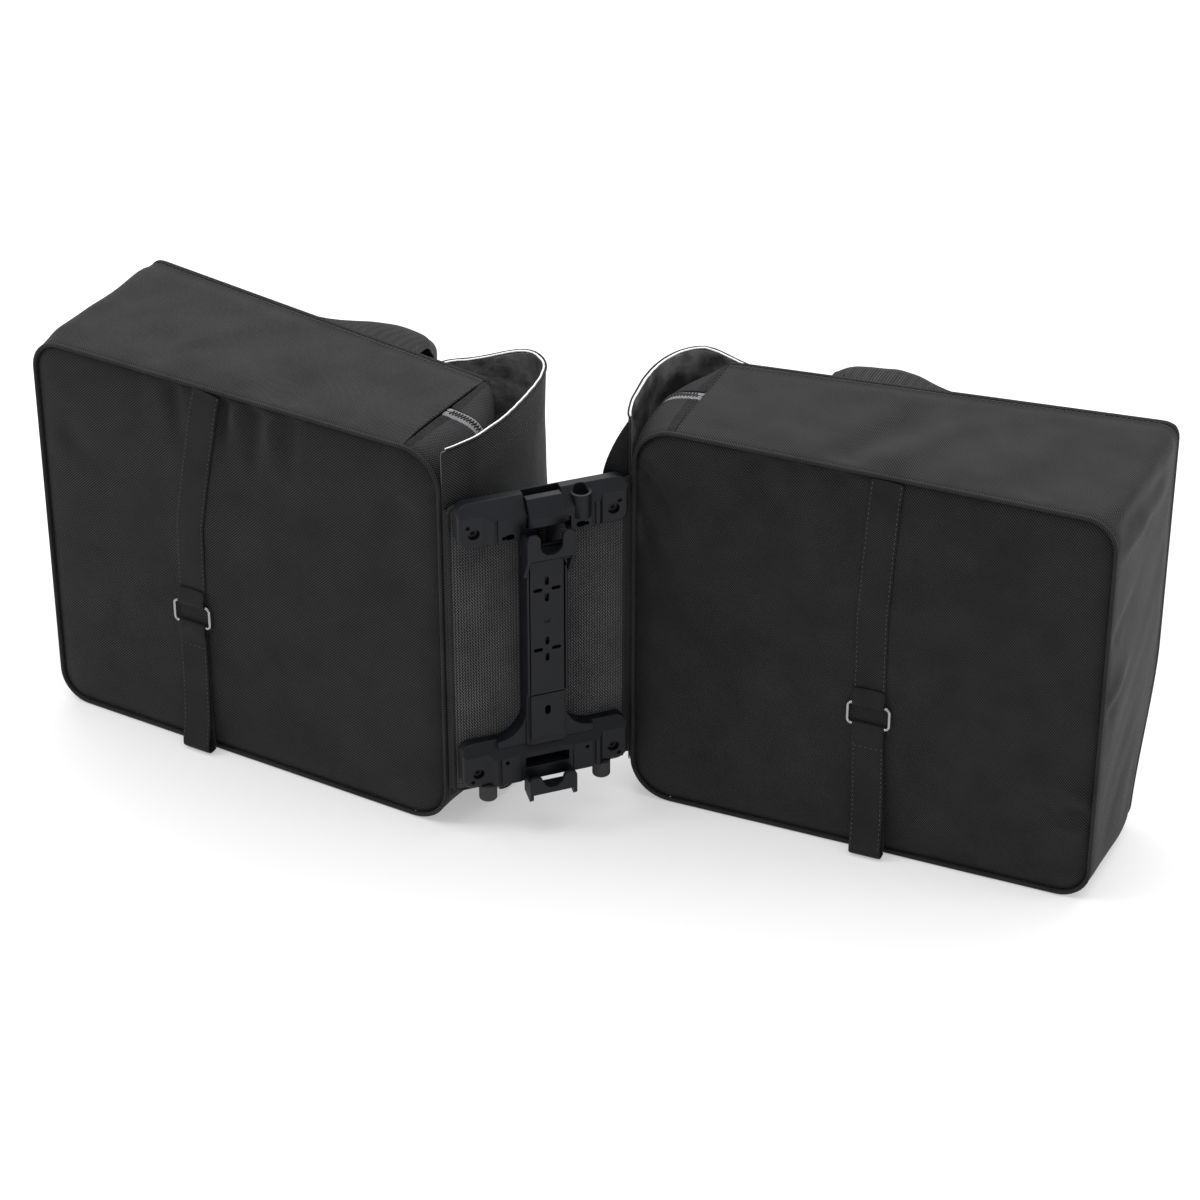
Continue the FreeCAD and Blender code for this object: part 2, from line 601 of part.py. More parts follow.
def adapter_frame():
    """I-shaped moulding: two cross bars, the spine and the lock's boss."""
    boss = cylinder(LOCK_BOSS_R, (LOCK_XY[0], LOCK_XY[1], LOCK_BOSS_LOW), (0, 0, 1), LOCK_TOP - LOCK_BOSS_LOW)
    frame = fuse(bar(UPPER_BAR_Z, UPPER_BAR_Z[0] + PAD_DROP), bar(LOWER_BAR_Z, LOWER_BAR_Z[0]), spine(), boss)
    front = BAR_FRONT - 1
    back = BAR_BACK + 1
    through = back - front
    cuts = []
    for sign in (-1, 1):
        for z, outward in zip(SCREW_Z, (-6.5, 6.0)):
            cuts.append(cylinder(SCREW_HOLE, (sign * SCREW_X, front, z), (0, 1, 0), SCREW_SEAT - front))
            cuts.append(cylinder(SHANK + RUNNING, (sign * SCREW_X, front, z), (0, 1, 0), through))
            cuts.append(cylinder(PILOT_R, (sign * (SCREW_X + 4.5), front, z + outward), (0, 1, 0), PILOT_DEEP))
            cuts.append(cylinder(PILOT_R, (sign * (OVAL_X + 4.5), front, z - outward), (0, 1, 0), PILOT_DEEP))
        oval = slot_z(0, 0, 7.0, 2.2, (front, back))
        oval.rotate(V(0, 0, 0), V(0, 1, 0), 90)
        oval.translate(V(sign * OVAL_X, 0, OVAL_Z))
        cuts.append(oval)
    lever_reach = LEVER_HALF + JAW_ROOM
    jaw_reach = JAW_HALF + JAW_ROOM
    jaw_room_top = LEVER_Z[0] - 2.6
    before = front - 8
    cuts.append(box((-lever_reach, lever_reach), (before, -5.0), (LEVER_Z[0] - 2.5, LEVER_Z[1] + 5)))
    cuts.append(box((-jaw_reach, jaw_reach), (before, -8.0), (JAW_Z[0] - 8, jaw_room_top)))
    cuts.append(box((-jaw_reach, jaw_reach), (before, BAR_FRONT + 2.5), (jaw_room_top - 2, JAW_Z[1] + 4)))
    cuts.append(cylinder(PIN_R + RUNNING, (-PIN_HALF, PIN_YZ[0], PIN_YZ[1]), (1, 0, 0), 2 * PIN_HALF))
    cuts.append(cylinder(LOCK_R + RUNNING, (LOCK_XY[0], LOCK_XY[1], LOCK_FLOOR), (0, 0, 1), 40.0))
    cuts.append(box((-WINDOW_HALF, WINDOW_HALF), (before, back), WINDOW_Z))
    cuts.append(box((-SEAT_X, SEAT_X), (before, BAR_FRONT + SEAT_PROUD), (LOWER_BAR_Z[0] - 1, LOWER_BAR_Z[1])))
    cuts.append(slot_z(0, SPINE_SLOT_Z, 8.0, 2.2, (PLATE_Y[0] - 1, back)))
    for cut in cuts:
        frame = frame.cut(cut)
    return frame


def jaw():
    """Sliding front jaw with its long plate, which runs on the spine between two ribs."""
    plate = box((-PLATE_HALF, PLATE_HALF), PLATE_Y, PLATE_Z)
    for z in PLUS_Z:
        for slot in plus_slots(z, (PLATE_Y[0] - 1, PLATE_Y[1] + 1)):
            plate = plate.cut(slot)
    plate = plate.cut(cylinder(2.4, (0, PLATE_Y[0] - 1, DIMPLE_Z), (0, 1, 0), 1.8))
    front = HOOK_PLATE_Y[0]
    back = PLATE_Y[1]
    tip = JAW_Z[0] - JAW_PRONG
    foot = [(back, JAW_Z[0] - 2), (PLATE_Y[0], tip), (PLATE_Y[0] - 1.5, tip), (front, JAW_Z[0])]
    hook = wavy_hook(JAW_HALF, JAW_Z, JAW_DIP_Z, back, foot)
    lip = box((-JAW_HALF, JAW_HALF), (front + 4, PLATE_Y[0]), JAW_LIP_Z)
    tab_half, tab_end = JAW_TAB
    tab = box((-tab_half, tab_half), (PLATE_Y[0], tab_end), (JAW_Z[0] + 0.5, JAW_Z[0] + 3.0))
    return fuse(plate, hook, lip, tab)


def release_lever():
    """Release lever with a folded face, pressed at its top edge."""
    fold = 270.4
    side = [(LEVER_Y[1], LEVER_Z[0] + 2), (LEVER_Y[1], LEVER_Z[1]), (LEVER_Y[0] + 8, LEVER_Z[1]),
            (LEVER_Y[0], fold), (LEVER_Y[0] + 1, LEVER_Z[0]), (LEVER_Y[0] + 5, LEVER_Z[0])]
    block = prism(side, -LEVER_HALF, LEVER_HALF, "vz")
    bore = cylinder(PIN_R + RUNNING, (-LEVER_HALF - 1, PIN_YZ[0], PIN_YZ[1]), (1, 0, 0), 2 * LEVER_HALF + 2)
    return block.cut(bore)


def jaw_spring():
    """Compression spring between the jaw's tab and the frame."""
    wire_r = 0.45
    coil_r = 2.6
    low = JAW_Z[0] + 3.6
    high = LEVER_Z[0] - 3.3
    helix = Part.makeHelix(2.0, high - low, coil_r)
    section = Part.Wire(Part.makeCircle(wire_r, V(coil_r, 0, 0), V(0, 1, 0)))
    spring = Part.Wire(helix.Edges).makePipeShell([section], True, True)
    spring.translate(V(0, -13.0, low))
    return spring


def lock_barrel():
    """Lock barrel with a plain key slot, set down inside its boss."""
    top = LOCK_TOP - LOCK_SUNK
    barrel = cylinder(LOCK_R, (LOCK_XY[0], LOCK_XY[1], LOCK_FLOOR), (0, 0, 1), top - LOCK_FLOOR)
    slot = box((LOCK_XY[0] - 3.6, LOCK_XY[0] + 3.6), (LOCK_XY[1] - 0.9, LOCK_XY[1] + 0.9), (top - 6.0, top + 1))
    return barrel.cut(slot)


def fasteners():
    """Four screws that hold the adapter to the bridge's board, and their nuts."""
    screws = []
    nuts = []
    for x in (-SCREW_X, SCREW_X):
        for z in SCREW_Z:
            head = cylinder(SCREW_HOLE - 0.3, (x, SCREW_SEAT - 2.6, z), (0, 1, 0), 2.6)
            socket = cylinder(SOCKET_R, (x, SCREW_SEAT - 3.0, z), (0, 1, 0), 2.0)
            shank = cylinder(SHANK, (x, SCREW_SEAT - 0.5, z), (0, 1, 0), FOAM_Y[1] - SCREW_SEAT)
            screws.append(fuse(head, shank).cut(socket))
            nut = cylinder(NUT_R, (x, FOAM_Y[0], z), (0, 1, 0), FOAM_Y[1] - FOAM_Y[0])
            nuts.append(nut.cut(cylinder(SHANK, (x, FOAM_Y[0] - 1, z), (0, 1, 0), 5.0)))
    return {"adapter_screws": Part.makeCompound(screws), "adapter_nuts": Part.makeCompound(nuts)}


def buffers():
    """Two rubber buffers under the lower bar."""
    pieces = []
    for x in (-BUFFER_X, BUFFER_X):
        body = cylinder(BUFFER_R, (x, BUFFER_Y, BUFFER_Z[0]), (0, 0, 1), BUFFER_Z[1] - BUFFER_Z[0])
        rim = [edge for edge in body.Edges if edge.BoundBox.ZMax < BUFFER_Z[0] + 1]
        pieces.append(body.makeFillet(1.5, rim))
    return Part.makeCompound(pieces)


def carrier_pieces():
    pieces = bridge_pieces()
    pieces["adapter_frame"] = adapter_frame()
    pieces["rear_hook"] = rear_hook()
    pieces["jaw"] = jaw()
    pieces["release_lever"] = release_lever()
    pieces["lever_pin"] = cylinder(PIN_R, (-PIN_HALF, PIN_YZ[0], PIN_YZ[1]), (1, 0, 0), 2 * PIN_HALF)
    pieces["jaw_spring"] = jaw_spring()
    pieces["lock_barrel"] = lock_barrel()
    pieces["adapter_buffers"] = buffers()
    pieces.update(fasteners())
    return pieces


def main():
    pieces = carrier_pieces()
    for side_name, side in SIDES.items():
        pieces.update(bag_pieces(side_name, side))
    whole = FreeCAD.BoundBox()
    for shape in pieces.values():
        whole.add(shape.optimalBoundingBox(False))
    # The origin is on the floor, under the middle of the whole object's box.
    origin = V(whole.Center.x, whole.Center.y, 0)
    os.makedirs("parts", exist_ok=True)
    for name, shape in sorted(pieces.items()):
        shape.translate(origin * -1)
        shape.exportStep(f"parts/{name}.step")
        print(f"{name}: {len(shape.Solids)} solid(s), {shape.Volume / 1000:.1f} cm3, valid {shape.isValid()}")
    print(f"box {whole.XLength:.1f} x {whole.YLength:.1f} x {whole.ZLength:.1f}, lowest {whole.ZMin:.2f}")
    print(f"origin {origin.x:.4f} {origin.y:.4f}")


main()
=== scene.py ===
import math

import bmesh
import bpy
import numpy as np
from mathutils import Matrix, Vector, noise


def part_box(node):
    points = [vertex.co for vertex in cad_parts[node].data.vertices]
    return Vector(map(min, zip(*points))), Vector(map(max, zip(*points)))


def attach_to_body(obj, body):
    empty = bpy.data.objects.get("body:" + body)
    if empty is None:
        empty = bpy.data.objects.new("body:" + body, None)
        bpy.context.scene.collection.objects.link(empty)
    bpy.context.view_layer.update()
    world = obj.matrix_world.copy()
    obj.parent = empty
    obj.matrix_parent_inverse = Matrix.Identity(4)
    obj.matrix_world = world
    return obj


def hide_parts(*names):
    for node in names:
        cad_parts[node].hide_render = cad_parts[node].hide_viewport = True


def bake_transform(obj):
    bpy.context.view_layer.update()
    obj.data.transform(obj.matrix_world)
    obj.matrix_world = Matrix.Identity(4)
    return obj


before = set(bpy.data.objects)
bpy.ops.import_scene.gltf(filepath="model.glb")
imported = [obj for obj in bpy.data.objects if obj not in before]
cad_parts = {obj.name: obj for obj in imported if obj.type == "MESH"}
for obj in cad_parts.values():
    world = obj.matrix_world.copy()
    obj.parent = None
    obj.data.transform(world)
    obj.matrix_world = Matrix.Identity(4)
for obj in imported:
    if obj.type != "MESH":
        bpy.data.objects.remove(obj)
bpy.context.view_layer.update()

# A double pannier bag that stands on one end, opened out.  Lengths are in millimetres and become metres
# when a point is placed.  A bag's own coordinates are u from the fold line to the base, v from the wheel
# side to the outer side, and z upwards, which is along the bicycle.  Shaders work in metres.

MM = 0.001

# ---- sizes that the frame gives ----
board_low, board_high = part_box("bridge_board")
ORIGIN = Vector(((board_low.x + board_high.x) / 2, board_high.y, 0.0))
BRIDGE_Z = [corner.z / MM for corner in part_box("bridge_fabric")]

# ---- driving dimensions ----
HINGE_X = 70.0                 # each bag's fold line is this far from the bridge's middle
LENGTH = 320.0                 # of a bag along the bicycle, z
HEIGHT = 365.0                 # from the fold line to the base, u
TOP_U = 3.0                    # the zipped top's u at the wheel side
MOUTH_U = 32.0                 # and at the outer face
MOUTH_V = 118.0                # the bag's depth at the zipped top
BASE_V = 157.0                 # and at its base
FLAT_TOP_V = 20.0              # the zipped top is flat up to this v
CORNER_NEAR = 32.0             # radius of the padded panel's corners beside the bridge
CORNER_FAR = 25.0              # and of those at the base
CORNER_OUTER = 11.0            # the base corner at the outer face
SEAM_U = TOP_U + CORNER_NEAR   # seam across the ends, where the zipped top begins
LIP_V = 2.0                    # v of the gusset's edge beside the piping
PIPE_INSET = 2.9               # the padded panel is this much smaller all round than the bag's side
PIPE_R = 1.7
PANEL_FRONT_V = -2.3
PANEL_ROLL = 3.4               # the padded panel's front rolls back by this close to its edge
PANEL_SLOPE = 2.0              # and slopes back by this further in
PANEL_BACK_V = 8.0
CROWN = 9.0                    # the zipped top's upper corner is pushed out by this
CELL = 4.0                     # mesh spacing of the shell
BAG_MIDDLE = (190.0, 70.0, LENGTH / 2)

FLAP_Z = (50.0, 270.0)
FLAP_V = (9.8, 113.0)
ZIP_V = 60.0
ZIP_HALF = 5.5
TAPE_HALF = 10.0
TOOTH_PITCH = 2.2
ZIP_STEPS = 150                # points along the zip
TOOTH_REACH = 2.6

LID_Z = (4.0, 323.0)
LID_ROOT_RISE = 24.0           # and its lower end rises by this towards the bridge
LID_TAPER = 12.0               # each end of the lid draws in by this towards its free edge
LID_EDGE_STARTS = (14, 1)      # the lower and the upper edge are trimmed from this row of the lid on
EDGE_RISE = 1.1                # the trim stands this far beyond the cloth's end
LID_EDGE_R = 0.75
LID_PRESSED = 4.0              # the lid's lower end lies this much closer to the zipped top
STRAP_WIDTH = 25.0
STRAP_THICKNESS = 1.1
RING_V = -4.35
RING_Z = (112.0, 130.0)        # the wire ring's two bars
RING_WRAP = 2.0                # the webbing's middle runs round a bar at this radius
STITCH_INSET = 1.8             # stitches run this far inside the webbing's edges
BRIDGE_HALF = 67.0
COVER_HALF = 60.0              # the padded cover slopes down to the board's edge beyond this
COVER_SLOPE = 3.0
ROOT_REACH = 21.0              # the lid's root covers the bridge's top edge this far inboard
ROOT_HEIGHT = 41.0
BINDING_R = 2.0
# The pocket's (u, distance from the outer face) from its mouth down.
POCKET_PROFILE = [(106, 30), (112, 42), (122, 49), (142, 51), (162, 44), (182, 29), (206, 15), (250, 8), (318, 4)]
POCKET_Z = (9.0, 313.0)
# Thickness of each kind of cloth piece.
THICKNESS = {"shell": 1.3, "pocket": 1.2, "lid": 0.7, "root": 1.0, "fold": 0.9, "bridge": 0.8, "tape": 0.5}

# Unevenness of loose cloth: waves of (height, size along each coordinate, shift of the side's seed).
WAVES = {
    "face": ((2.0, 90.0, 80.0, 9.0), (0.7, 30.0, 45.0, 13.0)),
    "lid": ((1.6, 60.0, 90.0, 40.0), (0.5, 24.0, 30.0, 44.0)),
    "pocket": ((5.0, 34.0, 30.0, 50.0), (3.0, 14.0, 18.0, 57.0)),
}

# A lid is a route of (u, v) points from the bridge to the free edge, and a strap one of (u, z) points from
# the top down.  A fold runs from one point to another, with its height and half width: panel folds in (u, z),
# gusset folds in (distance round the walls from the seam, v).
SIDES = {
    "left": {
        "mirrored": True,
        "turn": -50.9,
        "seed": 3.0,
        "lid": [(2.6, 1.6), (-1, 7), (-5.5, 20), (-9.5, 35), (-12, 72), (-6, 119), (3, 146), (18, 160), (38, 162),
                (62, 152), (80, 139), (86, 129)],
        "strap": [(204, 316), (225, 200), (227, 121), (226, 4)],
        "slump": 10.0,
        "panel_folds": [
            ((188, 318), (193, 258), -2.8, 5.0), ((177, 318), (180, 280), 1.6, 5.0),
            ((160, 318), (166, 246), -2.6, 6.5), ((145, 318), (152, 270), 1.6, 6.0),
            ((128, 318), (134, 256), -2.0, 7.0), ((236, 318), (228, 256), -2.2, 6.0),
            ((30, 280), (60, 210), -1.0, 12.0), ((345, 250), (300, 225), -0.8, 12.0),
        ],
        "gusset_folds": [
            ((90, 6), (140, 80), -2.0, 12.0), ((150, 6), (185, 120), 1.6, 14.0),
            ((215, 10), (260, 100), -1.4, 12.0), ((20, 20), (45, 110), -1.0, 10.0),
            ((318, 8), (322, 130), 1.6, 9.0), ((330, 8), (338, 140), -1.2, 9.0),
        ],
        "crumple": 0.35,
    },
    "right": {
        "mirrored": False,
        "turn": -43.5,
        "seed": 11.0,
        "lid": [(2.6, 1.6), (-1, 6), (-5, 18), (-9, 35), (-11.5, 60), (-11, 86), (-6, 106), (4, 120), (16, 125),
                (36, 124.5), (60, 127), (86, 132)],
        "strap": [(197, 316), (191, 204), (192, 121), (196, 4)],
        "slump": 46.0,
        "panel_folds": [
            ((6, 286), (52, 226), -3.2, 8.0), ((10, 300), (70, 262), 2.0, 9.0),
            ((4, 248), (34, 190), -2.4, 8.0), ((95, 318), (120, 256), -2.2, 8.0),
            ((130, 318), (135, 270), -1.8, 7.0), ((160, 318), (166, 276), -1.6, 7.0),
            ((362, 84), (326, 104), 1.4, 6.0), ((362, 62), (322, 58), 1.2, 6.0),
            ((362, 72), (335, 80), -1.2, 5.0),
        ],
        "gusset_folds": [
            ((118, 4), (165, 140), -6.5, 12.0), ((152, 4), (200, 130), 4.0, 13.0),
            ((60, 8), (80, 90), 1.2, 12.0), ((250, 6), (280, 110), -1.2, 16.0),
            ((318, 6), (322, 150), 3.6, 7.0), ((330, 8), (340, 150), -3.2, 6.0),
            ((344, 6), (352, 150), 3.0, 6.0), ((420, 4), (395, 60), -2.0, 7.0),
            ((470, 4), (440, 60), 1.8, 7.0), ((482, 4), (455, 70), -1.6, 7.0),
        ],
        "crumple": 1.0,
    },
}

# The studio, in metres and degrees.
CAMERA_PLACE = (-0.82355, -2.19208, 1.5809)
CAMERA_TURN = (58.28, 0.0, -20.65)
CAMERA_LENS = 109.0
FLOOR_REACH = 14.0
FLOOR_DROP = 0.0005            # the floor lies this far below the bags
FLOOR_GREY = 0.5
FLOOR_GLOW = 0.38              # keeps the shadows on the pale floor faint
SKY_STRENGTH = 0.62
LIGHT_TARGET = (0.0, 0.0, 0.15)
# Each lamp: its place, power in watts and side.
LIGHTS = (("key", (0.5, 0.9, 3.2), 240.0, 6.0), ("rake", (-2.2, 0.4, 1.9), 16.0, 0.6),
          ("side", (1.6, -1.0, 0.7), 9.0, 0.5))


# ---- placing points ----
def place(side, points):
    """Points (u, v, z) of a bag, in millimetres, as an array of points in the row frame, in metres."""
    facts = SIDES[side]
    points = np.asarray(points, float)
    out = -1.0 if facts["mirrored"] else 1.0
    turn = math.radians(facts["turn"])
    across = out * points[..., 0]
    x = out * HINGE_X + across * math.cos(turn) - points[..., 1] * math.sin(turn)
    y = across * math.sin(turn) + points[..., 1] * math.cos(turn)
    return np.stack([x, y, points[..., 2]], axis=-1) * MM + np.array(ORIGIN)


def bridge_point(x, y, z):
    """A point of the bridge, in millimetres from its middle, in the row frame."""
    return Vector((x, y, z)) * MM + ORIGIN


def outer_v(u):
    """v of the outer face, which slopes away from the zipped top."""
    return MOUTH_V + (u - MOUTH_U) * (BASE_V - MOUTH_V) / (HEIGHT - MOUTH_U)


def top_u(v):
    """u of the zipped top side, flat and then one arc to the outer corner."""
    rise = MOUTH_U - TOP_U
    run = MOUTH_V - FLAT_TOP_V
    radius = (rise * rise + run * run) / (2 * rise)
    return TOP_U + radius - math.sqrt(radius * radius - max(0.0, v - FLAT_TOP_V) ** 2)


def ease(x, low, high):
    """0 up to low, 1 from high, and smooth between; high may be the smaller of the two."""
    t = np.clip((np.asarray(x, float) - low) / (high - low), 0.0, 1.0)
    return t * t * (3 - 2 * t)


# ---- lines ----
def distances(line):
    """Distance of each point of a line from its first point, along the line."""
    return np.concatenate([[0.0], np.cumsum(np.linalg.norm(np.diff(line, axis=0), axis=1))])


def directions(line):
    """Unit vectors along a line, one at each of its points."""
    along = np.gradient(line, axis=0)
    return along / np.linalg.norm(along, axis=1, keepdims=True)


def points_at(line, places):
    """Points at the given distances along a line."""
    lengths = distances(line)
    return np.stack([np.interp(places, lengths, line[:, k]) for k in range(line.shape[1])], axis=-1)


def smooth_line(points, step):
    """Evenly spaced points on a smooth curve through the given ones."""
    points = np.asarray(points, float)
    dense = []
    last = len(points) - 1
    for n in range(last):
        before, start, end, after = points[max(n - 1, 0)], points[n], points[n + 1], points[min(n + 2, last)]
        for t in np.linspace(0.0, 1.0, 12, endpoint=False):
            dense.append(0.5 * (2 * start + (end - before) * t + (2 * before - 5 * start + 4 * end - after) * t ** 2
                                + (3 * start - before - 3 * end + after) * t ** 3))
    dense = np.array(dense + [points[-1]])
    length = distances(dense)[-1]
    return points_at(dense, np.linspace(0.0, length, max(2, int(length / step) + 1)))


def arc_points(centre, radius, first, last, steps):
    """Points on an arc, in two coordinates, with its angles in degrees from the first coordinate's axis."""
    turns = np.radians(np.linspace(first, last, steps))
    return [(centre[0] + radius * math.cos(turn), centre[1] + radius * math.sin(turn)) for turn in turns]


# ---- fabric relief ----
def ripple(s, t, size_s, size_t, seed):
    """Smooth noise from -1 to 1 over two coordinates in millimetres."""
    values = [noise.noise(Vector((a / size_s, b / size_t, seed))) for a, b in zip(s.ravel(), t.ravel())]
    return np.array(values).reshape(s.shape)


def uneven(side, kind, s, t):
    """Height of the waves of one kind of surface."""
    seed = SIDES[side]["seed"]
    return sum(height * ripple(s, t, size_s, size_t, seed + shift) for height, size_s, size_t, shift in WAVES[kind])


def bell(distance, width):
    """1 at distance 0, and smoothly less on both sides."""
    return np.exp(-((distance / width) ** 2))


def folds_height(s, t, folds):
    """Height of the listed folds.  Each is (start, end, height, width) and fades towards both ends."""
    total = np.zeros(s.shape)
    for (s0, t0), (s1, t1), height, width in folds:
        ds, dt = s1 - s0, t1 - t0
        along = np.clip(((s - s0) * ds + (t - t0) * dt) / (ds * ds + dt * dt), 0.0, 1.0)
        away = np.hypot(s - s0 - along * ds, t - t0 - along * dt)
        total += height * bell(away, width) * ease(along, 0.0, 0.15) * ease(along, 1.0, 0.3)
    return total


def normals_of(grid, inside):
    """Unit normals of a grid of points, pointing away from a point inside."""
    cross = np.cross(np.gradient(grid, axis=0), np.gradient(grid, axis=1))
    cross /= np.linalg.norm(cross, axis=2, keepdims=True) + 1e-9
    facing = (cross * (grid - np.asarray(inside, float))).sum()
    return cross if facing > 0 else -cross


# ---- meshes ----
def make_object(name, points, faces, uvs, material, thickness=0.0, levels=1, inside=None):
    """A smooth mesh piece from points in metres.  uvs gives each point's weave coordinates in metres.

    An open piece turns its faces away from the point inside.
    """
    used = sorted({index for face in faces for index in face})
    renumber = {old: new for new, old in enumerate(used)}
    faces = [[renumber[index] for index in face] for face in faces]
    mesh = bpy.data.meshes.new(name)
    mesh.from_pydata([tuple(points[index]) for index in used], [], faces)
    layer = mesh.uv_layers.new(name="weave")
    for loop in mesh.loops:
        layer.data[loop.index].uv = uvs[used[loop.vertex_index]]
    mesh.materials.append(material)
    turn_faces(mesh, inside)
    mesh.polygons.foreach_set("use_smooth", [True] * len(mesh.polygons))
    piece = bpy.data.objects.new(name, mesh)
    bpy.context.scene.collection.objects.link(piece)
    if thickness:
        solid = piece.modifiers.new("thickness", "SOLIDIFY")
        solid.thickness = abs(thickness) * MM
        solid.offset = -1.0 if thickness > 0 else 1.0
    if levels:
        rounded = piece.modifiers.new("rounding", "SUBSURF")
        rounded.levels = levels
        rounded.render_levels = levels
    return piece


def turn_faces(mesh, inside):
    """Makes the faces agree, and turns an open mesh away from the point inside."""
    work = bmesh.new()
    work.from_mesh(mesh)
    bmesh.ops.recalc_face_normals(work, faces=work.faces)
    if inside is not None:
        inside = Vector(inside)
        outward = sum((face.calc_center_median() - inside).dot(face.normal) for face in work.faces)
        if outward < 0:
            bmesh.ops.reverse_faces(work, faces=work.faces)
    work.to_mesh(mesh)
    work.free()


def grid_faces(rows, columns, first=0, closed=False):
    """Quads between the points of a grid that is stored row by row."""
    faces = []
    for r in range(rows - 1):
        for c in range(columns if closed else columns - 1):
            after = (c + 1) % columns
            low = first + r * columns
            high = low + columns
            faces.append([low + c, low + after, high + after, high + c])
    return faces


def rod_faces(rings, sides, first=0, closed=False):
    """Faces of a rod stored ring by ring, with its ends joined to each other or capped."""
    if closed:
        return [[index % (rings * sides) for index in face] for face in grid_faces(rings + 1, sides, closed=True)]
    last = first + (rings - 1) * sides
    caps = [list(range(first, first + sides))[::-1], list(range(last, last + sides))]
    return grid_faces(rings, sides, first, closed=True) + caps


def flat_list(grid):
    """The points of a grid in one list, row by row."""
    return grid.reshape(-1, grid.shape[-1])


def weave_grid(first, second):
    """Weave coordinates of a grid's points, in metres, from their places along its rows and columns."""
    return [(a * MM, b * MM) for a in first for b in second]


def make_sheet(name, grid, weave, material, thickness, inside=None):
    """A sheet of cloth from a grid of points in metres."""
    rows, columns = grid.shape[:2]
    return make_object(name, flat_list(grid), grid_faces(rows, columns), weave, material, thickness,
                       inside=inside)


def attach(piece, body, *nodes):
    """Makes a piece move with a body and stand for nodes of the assembly."""
    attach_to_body(piece, body)
    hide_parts(*nodes)


def tube(name, line, radius, material, closed=False, sides=10):
    """A round bead along a line of points in metres."""
    line = [Vector(point) for point in line]
    count = len(line)
    points = []
    uvs = []
    run = 0.0
    for n, point in enumerate(line):
        before = line[(n - 1) % count] if closed or n else point
        after = line[(n + 1) % count] if closed or n + 1 < count else point
        along = (after - before).normalized()
        side = along.cross(Vector((0.31, 0.17, 0.93))).normalized()
        up = side.cross(along)
        if n:
            run += (point - line[n - 1]).length
        for k in range(sides):
            turn = 2 * math.pi * k / sides
            points.append(point + (side * math.cos(turn) + up * math.sin(turn)) * radius * MM)
            uvs.append((run, radius * MM * turn))
    faces = rod_faces(count, sides, closed=closed)
    return make_object(name, points, faces, uvs, material, levels=0)


# ---- materials ----
class Shader:
    """A principled material with short ways to add the nodes that the fabrics share."""

    def __init__(self, name, color, roughness, metallic=0.0):
        self.material = bpy.data.materials.new(name)
        self.material.use_nodes = True
        self.nodes = self.material.node_tree.nodes
        self.links = self.material.node_tree.links
        self.surface = self.nodes["Principled BSDF"]
        self.set("Base Color", (*color, 1.0))
        self.set("Roughness", roughness)
        self.set("Metallic", metallic)

    def set(self, socket, value):
        """Gives the surface's own socket a value."""
        self.surface.inputs[socket].default_value = value

    def link(self, value, socket):
        """Gives the surface's socket a value that varies."""
        self.links.new(value, self.surface.inputs[socket])

    def math(self, operation, first, second=None):
        """The result of one operation on numbers or node outputs."""
        node = self.nodes.new("ShaderNodeMath")
        node.operation = operation
        for socket, value in zip(node.inputs, (first, second)):
            if value is None:
                continue
            if isinstance(value, (int, float)):
                socket.default_value = value
            else:
                self.links.new(value, socket)
        return node.outputs[0]

    def scaled(self, value, factor, added):
        """value * factor + added."""
        return self.math("ADD", self.math("MULTIPLY", value, factor), added)

    def coordinates(self, kind):
        """The surface's own coordinates: UV for the weave, Object for places in metres."""
        return self.nodes.new("ShaderNodeTexCoord").outputs[kind]

    def weave_axes(self):
        """The piece's two weave coordinates."""
        node = self.nodes.new("ShaderNodeSeparateXYZ")
        self.links.new(self.coordinates("UV"), node.inputs[0])
        return node.outputs[0], node.outputs[1]

    def noise(self, scale, detail):
        """Noise with a number of bumps per metre."""
        node = self.nodes.new("ShaderNodeTexNoise")
        node.inputs["Scale"].default_value = scale
        node.inputs["Detail"].default_value = detail
        self.links.new(self.coordinates("Object"), node.inputs["Vector"])
        return node.outputs[0]

    def paint(self, value, low, high, color_low, color_high):
        """Base colour from color_low, where the value is low, to color_high."""
        node = self.nodes.new("ShaderNodeValToRGB")
        for element, position, color in zip(node.color_ramp.elements, (low, high), (color_low, color_high)):
            element.position = position
            element.color = (*color, 1.0)
        self.links.new(value, node.inputs[0])
        self.link(node.outputs[0], "Base Color")

    def bump(self, height, distance, strength=1.0, rounding=None):
        """Relief of a given depth, on edges that look rounded by a radius."""
        node = self.nodes.new("ShaderNodeBump")
        node.inputs["Distance"].default_value = distance
        node.inputs["Strength"].default_value = strength
        self.links.new(height, node.inputs["Height"])
        if rounding:
            bevel = self.nodes.new("ShaderNodeBevel")
            bevel.samples = 6
            bevel.inputs["Radius"].default_value = rounding
            self.links.new(bevel.outputs[0], node.inputs["Normal"])
        self.link(node.outputs[0], "Normal")

    def finish_cloth(self, sheen, sheen_roughness):
        """The faint sheen and low gloss of synthetic cloth."""
        self.set("Sheen Weight", sheen)
        self.set("Sheen Roughness", sheen_roughness)
        self.set("Sheen Tint", (1.0, 1.0, 1.0, 1.0))
        self.set("Specular IOR Level", 0.12)


def wave(shader, coordinate, pitch):
    """0 to 1 and back once every pitch, in metres."""
    turned = shader.math("MULTIPLY", coordinate, 2 * math.pi / pitch)
    return shader.math("MULTIPLY", shader.math("ADD", shader.math("SINE", turned), 1.0), 0.5)


def lighter(color, factor):
    """A colour multiplied by a factor, up to white."""
    return tuple(min(1.0, channel * factor) for channel in color)


